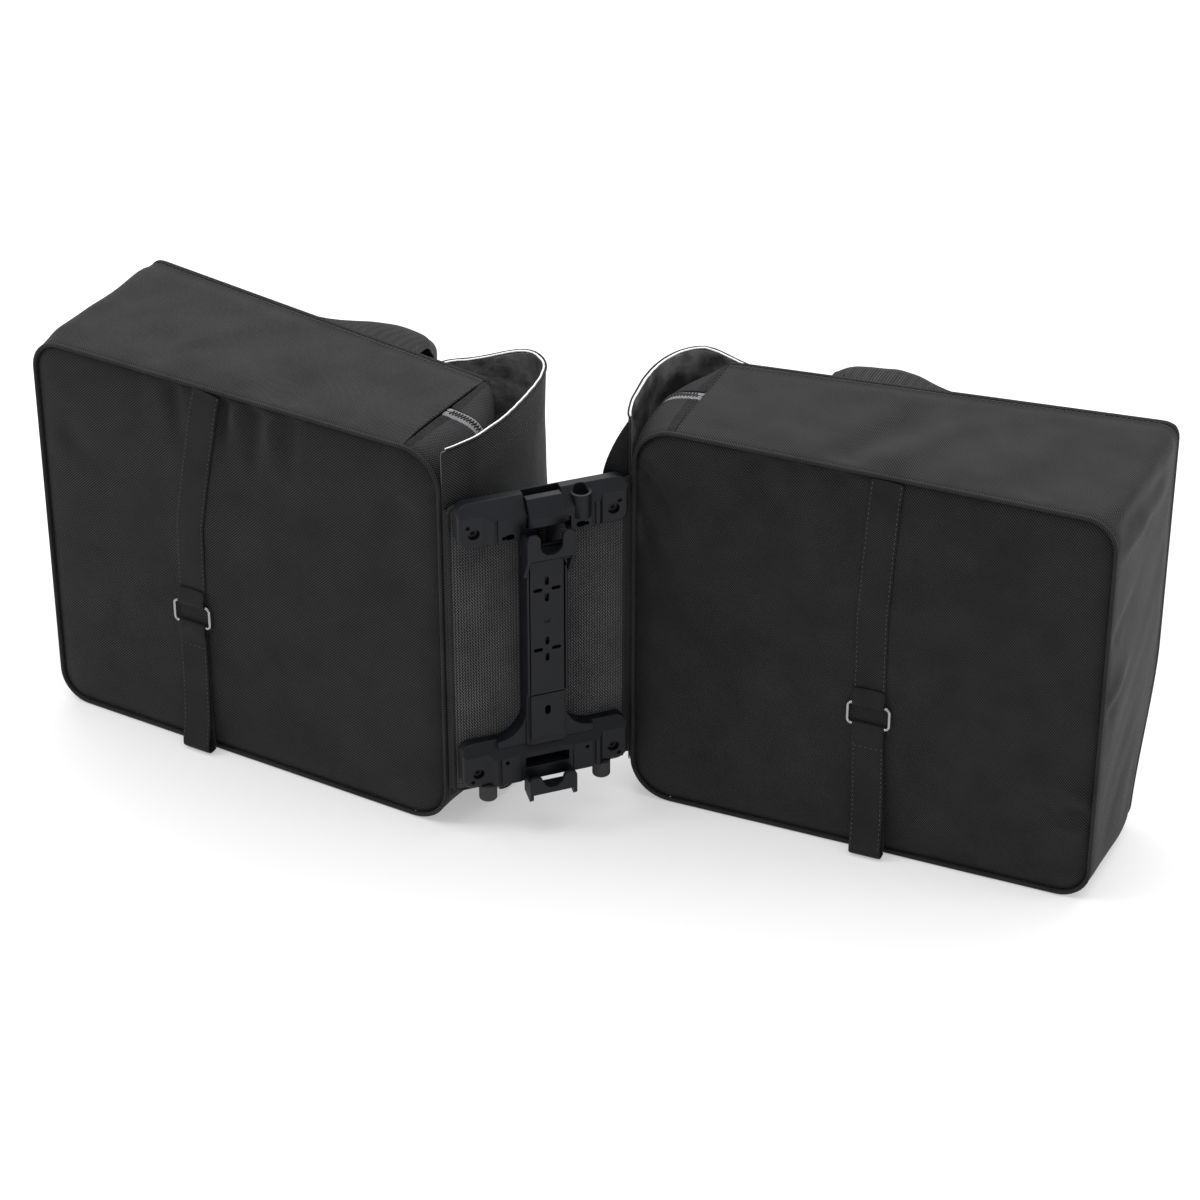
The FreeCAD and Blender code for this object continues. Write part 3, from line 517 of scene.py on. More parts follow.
def twill_fabric(name, dark, light, pitch, relief, roughness=0.62, sheen=0.03):
    """Woven cloth: diagonal ribs broken up by the threads that cross them, with faint slubs and wear. The weave's
    pattern is painted into the base colour, with its thread crests lighter as painted highlights.
    """
    shader = Shader(name, dark, roughness)
    across, along = shader.weave_axes()
    diagonal = shader.math("ADD", across, along)
    counter = shader.math("SUBTRACT", across, along)
    ribs = wave(shader, diagonal, pitch)
    threads = wave(shader, counter, pitch * 0.8)
    weave = shader.math("MULTIPLY", ribs, shader.scaled(threads, 0.75, 0.25))
    patches = shader.noise(28.0, 3.0)
    # Base colour goes from dark to light with the weave: the weave's own pattern, plus painted highlights on the
    # thread crests.
    shader.paint(shader.math("MULTIPLY", weave, shader.scaled(patches, 0.9, 0.35)), 0.05, 0.75, dark, light)
    fuzz = shader.noise(900.0, 1.0)
    shader.bump(shader.math("ADD", weave, shader.math("MULTIPLY", fuzz, 0.35)), relief)
    shader.finish_cloth(sheen, 0.4)
    return shader.material


def ribbed_mesh(name, dark, light):
    """Coarse knitted mesh: upright ribs, each a zigzag of loops. The knit's pattern is painted with highlights on
    the ribs and painted shade in the dark gaps between.
    """
    shader = Shader(name, dark, 0.7)
    across, along = shader.weave_axes()
    sway = shader.math("MULTIPLY", wave(shader, along, 0.0026), 0.0011)
    ribs = wave(shader, shader.math("ADD", across, sway), 0.0021)
    loops = wave(shader, shader.math("ADD", along, shader.math("MULTIPLY", across, 0.6)), 0.0013)
    knit = shader.math("MULTIPLY", ribs, shader.scaled(loops, 0.7, 0.3))
    patches = shader.noise(40.0, 2.0)
    # Base colour goes from dark gaps to light ribs: the knit's own pattern, plus painted shade in the gaps and
    # painted highlights on the ribs.
    shader.paint(shader.math("MULTIPLY", knit, shader.scaled(patches, 0.8, 0.5)), 0.12, 0.8, dark, light)
    shader.bump(knit, 0.0006)
    shader.finish_cloth(0.05, 0.5)
    return shader.material


def coated_cloth(name, color):
    """Coated lining: smooth and shiny, with soft crease relief in patches whose highlights are painted lighter into
    the base colour.
    """
    shader = Shader(name, color, 0.3)
    patches = shader.math("MULTIPLY", shader.noise(17.0, 2.0), 1.7)
    creases_and_highlights = shader.math("MULTIPLY", shader.noise(50.0, 5.0), patches)
    # Painted highlights: the base colour turns up to seven times lighter along the crease relief, in patches.
    shader.paint(creases_and_highlights, 0.3, 0.8, color, lighter(color, 7.0))
    shader.bump(creases_and_highlights, 0.0035, 0.9)
    shader.set("Coat Weight", 0.4)
    shader.set("Coat Roughness", 0.2)
    return shader.material


def moulded_plastic(name, color, roughness, rounding):
    """Moulded plastic with a fine grain, rounded edges and faint scuffs."""
    shader = Shader(name, color, roughness)
    grain = shader.noise(1500.0, 2.0)
    scuffs = shader.noise(45.0, 4.0)
    shader.paint(scuffs, 0.4, 0.65, color, lighter(color, 1.25))
    shader.link(shader.scaled(scuffs, 0.12, roughness - 0.06), "Roughness")
    shader.bump(grain, 0.00006, 0.5, rounding)
    shader.set("Specular IOR Level", 0.22)
    return shader.material


def metal(name, color, roughness, rounding=0.0004):
    """Finished metal with faint streaks and rounded edges."""
    shader = Shader(name, color, roughness, 1.0)
    streaks = shader.noise(220.0, 3.0)
    shader.link(shader.scaled(streaks, 0.15, roughness - 0.05), "Roughness")
    shader.bump(streaks, 0.00003, 0.4, rounding)
    return shader.material


def reflective_tape(name):
    """Silver-white reflective piping with a bead texture."""
    shader = Shader(name, (0.82, 0.82, 0.83), 0.35)
    beads = shader.noise(1300.0, 1.0)
    shader.paint(beads, 0.3, 0.6, (0.55, 0.55, 0.57), (0.92, 0.92, 0.92))
    shader.bump(beads, 0.0001, 0.5)
    return shader.material


def plain_matt(name, color, roughness, scale):
    """A matt material with a little mottling."""
    shader = Shader(name, color, roughness)
    mottle = shader.noise(scale, 3.0)
    shader.paint(mottle, 0.35, 0.65, color, lighter(color, 1.35))
    shader.bump(mottle, 0.00015, 0.5)
    return shader.material


FABRIC = twill_fabric("bag_twill", (0.002, 0.002, 0.0022), (0.05, 0.05, 0.051), 0.0022, 0.00032)
# The padded panels' cloth is the bag's twill painted a little darker, as painted shade on the panels.
PANEL_SHADED_FABRIC = twill_fabric("panel_twill_shaded", (0.0018, 0.0018, 0.002), (0.042, 0.042, 0.043), 0.0022, 0.00032)
WEBBING = twill_fabric("strap_webbing", (0.003, 0.003, 0.0032), (0.038, 0.038, 0.039), 0.0018, 0.0002, 0.7, 0.03)
PIPING = twill_fabric("piping_cloth", (0.003, 0.003, 0.0032), (0.055, 0.055, 0.056), 0.002, 0.00015, 0.7, 0.03)
MESH = ribbed_mesh("bridge_mesh", (0.006, 0.006, 0.0062), (0.15, 0.15, 0.152))
LINING = coated_cloth("coated_lining", (0.036, 0.036, 0.037))
REFLECTIVE = reflective_tape("reflective_piping")
TAPE = twill_fabric("zip_tape", (0.10, 0.10, 0.105), (0.34, 0.34, 0.35), 0.0011, 0.0001, 0.75, 0.2)
TEETH = moulded_plastic("zip_teeth", (0.012, 0.012, 0.013), 0.35, 0.0001)
THREAD = plain_matt("stitch_thread", (0.06, 0.06, 0.062), 0.8, 900.0)
PLASTIC = moulded_plastic("adapter_plastic", (0.0046, 0.0051, 0.0072), 0.42, 0.0009)
BLACK_STEEL = metal("black_steel", (0.035, 0.035, 0.037), 0.5)
STEEL = metal("zinc_steel", (0.6, 0.6, 0.61), 0.32)
CHROME = metal("bright_chrome", (0.33, 0.33, 0.34), 0.16, 0.0002)
LACQUER = metal("black_lacquer", (0.06, 0.06, 0.062), 0.35, 0.0002)
LOCK_METAL = metal("dark_nickel", (0.16, 0.16, 0.17), 0.3)
RUBBER = plain_matt("buffer_rubber", (0.016, 0.016, 0.017), 0.75, 300.0)


# ---- a bag's shell ----
def rounded_corner(u, z, share):
    """Moves a point of the square-cornered walls inside their rounded base corners.

    share is 0 at the wheel side and 1 at the outer face.
    """
    radius = CORNER_FAR + (CORNER_OUTER - CORNER_FAR) * min(max(share, 0.0), 1.0)
    beyond_u = u - (HEIGHT - radius)
    middle = LENGTH / 2
    beyond_z = abs(z - middle) - (middle - radius)
    if beyond_u <= 0 or beyond_z <= 0:
        return u, z
    scale = max(beyond_u, beyond_z) / math.hypot(beyond_u, beyond_z)
    sign = 1.0 if z > middle else -1.0
    return HEIGHT - radius + beyond_u * scale, middle + sign * (middle - radius + beyond_z * scale)


def top_corner(v, share):
    """A point (u, z from the nearer end) of the zipped top's rounded corner, share of the way along it.

    The corner's radius shrinks towards the outer face, and the stretch ends CORNER_NEAR from the end.
    """
    radius = SEAM_U - top_u(v)
    bend = radius * math.pi / 2
    run = share * (bend + CORNER_NEAR - radius)
    if run <= bend:
        turn = run / radius
        return SEAM_U - radius * math.sin(turn), radius * (1 - math.cos(turn))
    return top_u(v), radius + run - bend


def crown(v, u, z):
    """How far the zipped top's rounded corner is pushed out by what the bag holds."""
    across = math.sin(math.pi * min(max(v / MOUTH_V, 0.0), 1.0))
    return CROWN * across * float(ease(z, 284.0, 304.0)) * float(ease(u, 34.0, 20.0))


def slump(side, points):
    """Lets the shell's outer base corner at the floor draw in, as soft bags do."""
    u, v, z = points[..., 0], points[..., 1], points[..., 2]
    weight = ease(v, 8.0, BASE_V) * ease(u, 150.0, HEIGHT) * ease(z, 135.0, 0.0)
    moved = points.copy()
    moved[..., 1] -= SIDES[side]["slump"] * weight
    moved[..., 2] += 4.0 * weight
    return moved


# Each piece of the shell: its body, and the nodes that it stands for.
SHELL_PIECES = {
    "gusset": ("bag", ("upper_gusset", "lower_gusset", "base_gusset")),
    "outer_panel": ("bag", ("outer_panel",)),
    "top_frame": ("bag", ("top_frame",)),
    "inner_flap": ("inner_flap", ("inner_flap",)),
    "outer_flap": ("outer_flap", ("outer_flap",)),
}


class Shell:
    """The bag's outer skin as one set of points: closed rows round the sides, and a grid on the outer face."""

    def __init__(self, side):
        self.side = side
        us = np.linspace(MOUTH_U, HEIGHT, int((HEIGHT - MOUTH_U) / CELL) + 1)
        zs = np.linspace(0.0, LENGTH, int(LENGTH / CELL) + 1)
        self.us, self.zs = us, zs
        # Columns run along the upper end, down the base, back along the lower end and up the zipped top.
        columns = [(i, len(zs) - 1) for i in range(len(us))]
        columns += [(len(us) - 1, j) for j in range(len(zs) - 2, -1, -1)]
        columns += [(i, 0) for i in range(len(us) - 2, -1, -1)]
        columns += [(0, j) for j in range(1, len(zs) - 1)]
        self.columns = columns
        self.rows_v = [LIP_V - 1.0, LIP_V, 4.5, 7.0]
        self.rows_v += list(np.linspace(FLAP_V[0], ZIP_V - ZIP_HALF, 12)) + [ZIP_V]
        self.rows_v += list(np.linspace(ZIP_V + ZIP_HALF, FLAP_V[1], 13)) + [FLAP_V[1] + 2.0]
        self.walls = np.array([[self.wall_point(column, v) for column in columns] for v in self.rows_v])
        self.face = np.array([[self.face_point(u, z) for z in zs] for u in us])
        self.add_wall_relief()
        self.add_face_relief()

    def wall_point(self, column, v_top):
        """A point of the side walls; v_top is its v on the zipped top, and other walls are in proportion."""
        i, j = column
        share = (v_top - LIP_V) / (MOUTH_V - LIP_V)
        u, z = rounded_corner(self.us[i], self.zs[j], share)
        tucked = 2.6 if v_top < LIP_V else 0.0     # the first row turns in under the piping
        near = min(z, LENGTH - z)
        if i == 0:
            share_in = min(near / CORNER_NEAR, 1.0)
            corner_u, from_end = top_corner(max(v_top, LIP_V), share_in)
            from_end += near - share_in * CORNER_NEAR
            z = from_end if z < LENGTH / 2 else LENGTH - from_end
            return [corner_u + tucked * share_in - crown(v_top, corner_u, z), v_top,
                    z + self.inwards(z) * tucked * (1 - share_in)]
        v = LIP_V + share * (outer_v(u) - LIP_V)
        if i == len(self.us) - 1 or u > HEIGHT - CORNER_FAR:
            middle = LENGTH / 2
            across = np.array([u - (HEIGHT - CORNER_FAR), z - middle - np.sign(z - middle) * (middle - CORNER_FAR)])
            if abs(z - middle) < middle - CORNER_FAR:
                across[1] = 0.0
            across /= max(np.linalg.norm(across), 1e-6)
            return [u - across[0] * tucked, v, z - across[1] * tucked]
        return [u, v, z + self.inwards(z) * tucked]

    @staticmethod
    def inwards(z):
        """Which way along z leads from the nearer end to the middle."""
        return 1.0 if z < LENGTH / 2 else -1.0

    def face_point(self, u, z):
        """A point of the outer face, which bulges a little with what the bag holds."""
        flat_u, flat_z = rounded_corner(u, z, 1.0)
        from_edge = min(u - MOUTH_U, HEIGHT - u, z, LENGTH - z)
        bulge = 5.0 * float(ease(from_edge, 0.0, 90.0))
        return [flat_u, outer_v(flat_u) + bulge, flat_z]

    def add_wall_relief(self):
        """Adds the seams, folds and soft unevenness of the side walls."""
        facts = SIDES[self.side]
        closed = np.concatenate([self.walls[:, -1:], self.walls, self.walls[:, :1]], axis=1)
        normals = normals_of(closed, BAG_MIDDLE)[:, 1:-1]
        self.run = distances(self.walls[2]) - (SEAM_U - MOUTH_U)
        s = np.broadcast_to(self.run, self.walls.shape[:2])
        v = self.walls[..., 1]
        on_gusset = np.array([i > 0 for i, _ in self.columns])
        to_outer = np.array([outer_v(self.us[i]) for i, _ in self.columns]) - v
        other_seam = self.run[2 * len(self.us) + len(self.zs) - 4]
        free = ease(v, LIP_V, LIP_V + 26) * ease(to_outer, 4.0, 26.0)
        soft = 2.2 * ripple(s, v, 85.0, 60.0, facts["seed"])
        soft += 1.0 * ripple(s + 0.6 * v, v, 26.0, 70.0, facts["seed"] + 4.0)
        height = free * soft + ease(v, LIP_V, LIP_V + 9) * folds_height(s, v, facts["gusset_folds"])
        height += 1.6 * free * on_gusset
        # The grooves of the seam beside the piping, of the seam with its roll along the outer edge, and of
        # the two seams across the ends.
        height -= 1.5 * bell(v - LIP_V, 2.6)
        height -= 0.9 * on_gusset * bell(to_outer - 11.0, 3.0)
        height += 0.8 * on_gusset * bell(to_outer - 5.0, 3.0)
        height -= 0.9 * bell(np.minimum(np.abs(s), np.abs(s - other_seam)), 2.2)
        self.walls = slump(self.side, self.walls + normals * height[..., None])

    def add_face_relief(self):
        """Adds the soft unevenness of the outer face."""
        u, z = np.meshgrid(self.us, self.zs, indexing="ij")
        edge = np.minimum(np.minimum(u - MOUTH_U, HEIGHT - u), np.minimum(z, LENGTH - z))
        self.face[..., 1] += uneven(self.side, "face", u, z) * ease(edge, 2.0, 40.0)
        self.face = slump(self.side, self.face)

    def at(self, column, from_outer):
        """A point of a side wall at a distance from the outer face."""
        share = 1.0 - from_outer / (outer_v(self.us[self.columns[column][0]]) - LIP_V)
        row_v = LIP_V + share * (MOUTH_V - LIP_V)
        return np.array([np.interp(row_v, self.rows_v, self.walls[:, column, k]) for k in range(3)])

    def pieces(self):
        """Sorts the skin's faces into gusset, outer panel, zipped top and its two flaps."""
        rows, count = len(self.rows_v), len(self.columns)
        first = rows * count
        points = np.concatenate([flat_list(self.walls), flat_list(self.face)])
        weave = [(self.run[c] * MM, self.walls[r, c, 1] * MM) for r in range(rows) for c in range(count)]
        weave += weave_grid(self.us, self.zs)
        sorted_faces = {name: [] for name in SHELL_PIECES}
        for n, face in enumerate(grid_faces(rows, count, closed=True)):
            row, column = divmod(n, count)
            name = self.part_of(row, column, (column + 1) % count)
            if name:
                sorted_faces[name].append(face)
        width = len(self.zs)
        last = (rows - 1) * count
        for c, (i, j) in enumerate(self.columns):
            after = (c + 1) % count
            ahead_i, ahead_j = self.columns[after]
            sorted_faces["outer_panel"].append([last + c, last + after, first + ahead_i * width + ahead_j,
                                                first + i * width + j])
        sorted_faces["outer_panel"] += grid_faces(len(self.us), width, first)
        return points, weave, sorted_faces

    def part_of(self, row, column, after):
        """The piece that a face of the side walls belongs to, or None in the zip's gap."""
        v = (self.rows_v[row] + self.rows_v[row + 1]) / 2
        if v > FLAP_V[1]:
            return "outer_panel"
        if self.columns[column][0] or self.columns[after][0]:
            return "gusset"
        if abs(v - ZIP_V) < ZIP_HALF:
            return None
        z = (self.walls[2, column, 2] + self.walls[2, after, 2]) / 2
        if not FLAP_Z[0] < z < FLAP_Z[1] or v < FLAP_V[0]:
            return "top_frame"
        return "inner_flap" if v < ZIP_V else "outer_flap"


def add_seam_stitches(side, shell):
    """Stitch rows on both end faces: beside the seam of the zipped top, and along the outer edge."""
    count = len(shell.us)
    base_end = count + len(shell.zs) - 2
    rows = []
    for first, step, up in ((1, 1, 1.0), (base_end + count - 2, -1, -1.0)):
        outward = (0.0, 0.0, up)
        lift = np.array([0.0, 0.0, 0.35 * up])
        depth = outer_v(MOUTH_U) - LIP_V
        rows.append(([shell.at(first, away) + lift for away in np.linspace(depth - 6.0, 4.0, 24)], outward))
        along = [first + step * n for n in range(count - 4)]
        rows.append(([shell.at(column, 8.0) + lift for column in along], outward))
    stitches(f"{side}_seam_stitches", side, rows, f"{side}_bag")


def add_shell(side):
    """The bag's skin in its pieces, with the stitches on its end faces."""
    shell = Shell(side)
    points, weave, sorted_faces = shell.pieces()
    placed = place(side, points)
    inside = place(side, BAG_MIDDLE)
    for name, faces in sorted_faces.items():
        body, nodes = SHELL_PIECES[name]
        piece = make_object(f"{side}_{name}_cloth", placed, faces, weave, FABRIC, THICKNESS["shell"],
                            inside=inside)
        attach(piece, f"{side}_{body}", *[f"{side}_{node}" for node in nodes])
    add_seam_stitches(side, shell)


# ---- padded wheel-side panel ----
def panel_edge(u, z):
    """A point inside the panel's rounded outline, and its distance from that outline."""
    low_u, high_u = TOP_U + PIPE_INSET, HEIGHT - PIPE_INSET
    low_z, high_z = PIPE_INSET, LENGTH - PIPE_INSET
    edge = min(u - low_u, high_u - u, z - low_z, high_z - z)
    radius = (CORNER_NEAR if u < HEIGHT / 2 else CORNER_FAR) - PIPE_INSET
    centre_u = min(max(u, low_u + radius), high_u - radius)
    centre_z = min(max(z, low_z + radius), high_z - radius)
    beyond_u, beyond_z = abs(u - centre_u), abs(z - centre_z)
    if beyond_u and beyond_z:
        scale = max(beyond_u, beyond_z) / math.hypot(beyond_u, beyond_z)
        u = centre_u + (u - centre_u) * scale
        z = centre_z + (z - centre_z) * scale
    return u, z, edge


def spaced(low, high):
    """Positions from low to high, closer together near both ends."""
    near = [0.0, 1.2, 2.6, 4.4, 6.6, 9.4]
    middle = list(np.linspace(low + 13.0, high - 13.0, int((high - low - 26.0) / CELL) + 1))
    return [low + d for d in near] + middle + [high - d for d in reversed(near)]


def panel_front_v(side, u, z, edge):
    """v of the padded panel's front face: it rolls down to the piping and is nearly flat further in."""
    facts = SIDES[side]
    v = PANEL_FRONT_V + PANEL_ROLL * np.exp(-((edge / 6.0) ** 1.3)) + PANEL_SLOPE * np.exp(-edge / 18.0)
    soft = 0.7 * ripple(u, z, 95.0, 80.0, facts["seed"] + 20) + 0.35 * ripple(u, z, 30.0, 55.0, 7.0)
    v = v - soft * ease(edge, 3.0, 30.0)
    return v - 2.0 * ease(edge, 0.0, 6.0) * folds_height(u, z, facts["panel_folds"])


def add_back_panel(side):
    """Padded wheel-side panel: a front and a back face joined round the edge."""
    us = spaced(TOP_U + PIPE_INSET, HEIGHT - PIPE_INSET)
    zs = spaced(PIPE_INSET, LENGTH - PIPE_INSET)
    cells = np.array([[panel_edge(u, z) for z in zs] for u in us])
    u, z, edge = cells[..., 0], cells[..., 1], cells[..., 2]
    front = np.stack([u, panel_front_v(side, u, z, edge), z], axis=-1)
    back = np.stack([u, np.full(u.shape, PANEL_BACK_V) - 2.5 * np.exp(-edge / 3.0), z], axis=-1)
    rows, columns = u.shape
    points = place(side, np.concatenate([flat_list(front), flat_list(back)]))
    weave = [(a * MM, b * MM) for a, b in zip(u.ravel(), z.ravel())] * 2
    first = rows * columns         # index of the back face's first point
    faces = grid_faces(rows, columns) + [face[::-1] for face in grid_faces(rows, columns, first)]
    loop = [(r, 0) for r in range(rows)] + [(rows - 1, c) for c in range(1, columns)]
    loop += [(r, columns - 1) for r in range(rows - 2, -1, -1)] + [(0, c) for c in range(columns - 2, 0, -1)]
    for n, (r, c) in enumerate(loop):
        ahead_r, ahead_c = loop[(n + 1) % len(loop)]
        low, ahead = r * columns + c, ahead_r * columns + ahead_c
        faces.append([ahead, low, first + low, first + ahead])
    piece = make_object(f"{side}_padded_panel", points, faces, weave, PANEL_SHADED_FABRIC)
    attach(piece, f"{side}_bag", f"{side}_back_panel", f"{side}_back_board")


def outline(inset):
    """The panel's rounded outline as (u, z) points, drawn in by inset."""
    corners = [
        (HEIGHT - CORNER_FAR, CORNER_FAR, CORNER_FAR, -90),
        (HEIGHT - CORNER_FAR, LENGTH - CORNER_FAR, CORNER_FAR, 0),
        (TOP_U + CORNER_NEAR, LENGTH - CORNER_NEAR, CORNER_NEAR, 90),
        (TOP_U + CORNER_NEAR, CORNER_NEAR, CORNER_NEAR, 180),
    ]
    points = []
    for u, z, radius, start in corners:
        points += arc_points((u, z), radius - inset, start, start + 90, 11)
    points = np.array(points + points[:1])
    length = distances(points)[-1]
    return points_at(points, np.linspace(0.0, length, int(length / CELL), endpoint=False))


def add_piping(side):
    """Round bead in the seam between the padded panel and the gusset."""
    line = outline(PIPE_R)
    wobble = ripple(line[:, 0], line[:, 1], 60.0, 60.0, SIDES[side]["seed"] + 31)
    bead = np.insert(line, 1, 1.15 + 0.25 * wobble, axis=1)
    piece = tube(f"{side}_piping", place(side, bead), PIPE_R, PIPING, closed=True)
    attach(piece, f"{side}_bag", f"{side}_panel_piping")


# ---- straps ----
def strap_u(side, z):
    """u of the strap's centre line at a height."""
    places, heights = zip(*reversed(SIDES[side]["strap"]))
    return float(np.interp(z, heights, places))


def ribbon(name, side, line):
    """Flat webbing along a line of (u, v, z) points, with its width across u and softly rounded edges."""
    along = directions(line)
    across = np.tile([1.0, 0.0, 0.0], (len(line), 1))
    across -= along * (across * along).sum(axis=1, keepdims=True)
    across /= np.linalg.norm(across, axis=1, keepdims=True)
    up = np.cross(along, across)
    half = STRAP_WIDTH / 2
    bevel = half - 0.7
    section = [(-half, 0.0), (-bevel, 0.5), (-half * 0.5, 0.5), (0, 0.5), (half * 0.5, 0.5), (bevel, 0.5),
               (half, 0.0), (bevel, -0.5), (0, -0.5), (-bevel, -0.5)]
    rings = []
    weave = []
    for point, side_way, up_way, run in zip(line, across, up, distances(line)):
        for a, b in section:
            rings.append(point + side_way * a + up_way * b * STRAP_THICKNESS)
            weave.append(((a + b) * MM, run * MM))
    faces = rod_faces(len(line), len(section))
    return make_object(name, place(side, rings), faces, weave, WEBBING)


def surface_v(side, u, z):
    """v of the padded panel's front at one point."""
    u_inside, z_inside, edge = panel_edge(u, z)
    cell = np.array([[u_inside]]), np.array([[z_inside]]), np.array([[max(edge, 0.0)]])
    return float(panel_front_v(side, *cell)[0, 0])


def strap_v(side, z):
    """v of the webbing's middle above the ring, where it lies on the padded panel."""
    return min(surface_v(side, strap_u(side, z), z), 0.6) - 0.7


def add_straps(side):
    """Sewn webbing from the top seam to the wire ring, and the doubled strap below the ring."""
    ring_low, ring_high = RING_Z
    upper = [(strap_u(side, z), strap_v(side, z), z)
             for z in np.arange(LENGTH - PIPE_INSET - 0.5, ring_high + 12, -4.0)]
    loop_u = strap_u(side, ring_high)
    upper.append((loop_u, RING_V + 2.0, ring_high + 6.0))
    upper += [(loop_u, v, z) for v, z in arc_points((RING_V, ring_high), RING_WRAP, 0, -180, 5)]
    upper += [(loop_u, RING_V - 1.8, ring_high + 5.0), (loop_u, RING_V - 0.3, ring_high + 14.0)]
    attach(ribbon(f"{side}_strap_webbing", side, smooth_line(upper, 3.0)), f"{side}_bag", f"{side}_strap_upper")

    # The lower strap runs up behind, round the ring's lower bar, down in front and round its folded foot.
    low_u = strap_u(side, ring_low)
    foot_u = strap_u(side, 4)
    route = [(foot_u, -1.6, 3.0), (foot_u, -3.2, 10.0), (strap_u(side, 50), -3.4, 50.0), (low_u, -3.4, 96.0),
             (low_u, RING_V + 1.6, ring_low - 3.0)]
    route += [(low_u, v, z) for v, z in arc_points((RING_V, ring_low), RING_WRAP, 0, 180, 5)]
    route += [(low_u, RING_V - 2.0, ring_low - 6.0), (low_u, -5.4, 94.0), (strap_u(side, 60), -6.2, 60.0),
              (strap_u(side, 30), -8.0, 30.0), (foot_u, -12.0, 8.0), (foot_u, -11.6, 2.2), (foot_u, -8.0, 1.0),
              (foot_u, -4.0, 1.6), (foot_u, -1.0, 2.0)]
    attach(ribbon(f"{side}_doubled_strap", side, smooth_line(route, 2.5)), f"{side}_bag", f"{side}_strap_lower")
    add_strap_stitches(side)


def stitches(name, side, rows, body):
    """Rows of short raised stitches.  A row is a line of (u, v, z) points with an outward direction."""
    points = []
    faces = []
    weave = []
    for line, outward in rows:
        line = smooth_line(line, 1.0)
        outward = np.asarray(outward, float)
        for start in range(0, len(line) - 3, 4):
            a = line[start]
            b = line[start + 3] * 0.85 + a * 0.15
            middle = (a + b) / 2
            along = (b - a) / (np.linalg.norm(b - a) + 1e-9)
            wide = np.cross(along, outward) * 0.32
            base = len(points)
            points += [a, b, middle + wide, middle - wide, middle + outward * 0.42, middle - outward * 0.3]
            weave += [(0.0, 0.0)] * 6
            for first, second in ((2, 4), (4, 3), (3, 5), (5, 2)):
                faces.append([base, base + first, base + second])
                faces.append([base + 1, base + second, base + first])
    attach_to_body(make_object(name, place(side, points), faces, weave, THREAD, levels=0), body)


def add_strap_stitches(side):
    """Stitch rows along both edges of the webbing, and across the doubled strap below the ring."""
    out = (0.0, -1.0, 0.0)
    rows = []
    inset = STRAP_WIDTH / 2 - STITCH_INSET
    for across in (-inset, inset):
        upper = [(strap_u(side, z) + across, strap_v(side, z) - 0.6, z)
                 for z in np.arange(LENGTH - PIPE_INSET - 3.0, RING_Z[1] + 9, -4.0)]
        rows.append((upper, out))
        lower = [(strap_u(side, z) + across, v, z) for z, v in ((96, -6.0), (60, -6.85), (30, -8.65))]
        rows.append((lower + [(strap_u(side, 8) + across, -12.55, 9)], out))
    low = strap_u(side, 94)
    rows.append(([(low - inset, -6.05, 94.0), (low + inset, -6.05, 94.0)], out))
    stitches(f"{side}_strap_stitches", side, rows, f"{side}_bag")


# ---- zip ----
def top_path(v, lift):
    """Points (u, z) along the zipped top at one v, from the upper seam to the lower one."""
    upper = [top_corner(v, share) for share in np.linspace(0.0, 1.0, 14)]
    line = [(u, LENGTH - from_end) for u, from_end in upper] + [(u, from_end) for u, from_end in reversed(upper)]
    line = np.array([(u - crown(v, u, z), z) for u, z in line])
    path = points_at(line, np.linspace(0.0, distances(line)[-1], ZIP_STEPS))
    along = directions(path)
    return path + np.stack([along[:, 1], -along[:, 0]], axis=-1) * lift


# The zip's parts, split where the zipped top folds, and the bodies that they move with.
ZIP_PARTS = {"zip_ends": "bag", "inner_tape": "inner_flap", "outer_tape": "outer_flap"}


def zip_part(z, inner):
    """The part of the zip at a height, on the inner or the outer side of its middle."""
    if not FLAP_Z[0] < z < FLAP_Z[1]:
        return "zip_ends"
    return "inner_tape" if inner else "outer_tape"


def add_zip(side):
    """Zip tapes, sunk at their edges, with a slit between them for the teeth."""
    slit = 0.2
    half = [slit, 2.6, ZIP_HALF - 1.2, ZIP_HALF + 1, TAPE_HALF]
    half_sink = [-0.4, -0.4, -0.6, -2.0, -2.4]
    widths = [-width for width in reversed(half)] + half
    sink = half_sink[::-1] + half_sink
    strips = np.array([np.insert(top_path(ZIP_V + w, d), 1, ZIP_V + w, axis=1) for w, d in zip(widths, sink)])
    rows, columns = strips.shape[:2]
    faces = {name: [] for name in ZIP_PARTS}
    for n, face in enumerate(grid_faces(rows, columns)):
        row, column = divmod(n, columns - 1)
        if widths[row] != -slit:
            faces[zip_part(strips[row, column, 2], widths[row] < 0)].append(face)
    points = place(side, flat_list(strips))
    inside = place(side, BAG_MIDDLE)
    weave = [(strips[r, c, 2] * MM, widths[r] * MM) for r in range(rows) for c in range(columns)]
    for name, body in ZIP_PARTS.items():
        piece = make_object(f"{side}_{name}_cloth", points, faces[name], weave, TAPE, THICKNESS["tape"],
                            inside=inside)
        attach(piece, f"{side}_{body}", f"{side}_{name}")
    add_teeth(side)


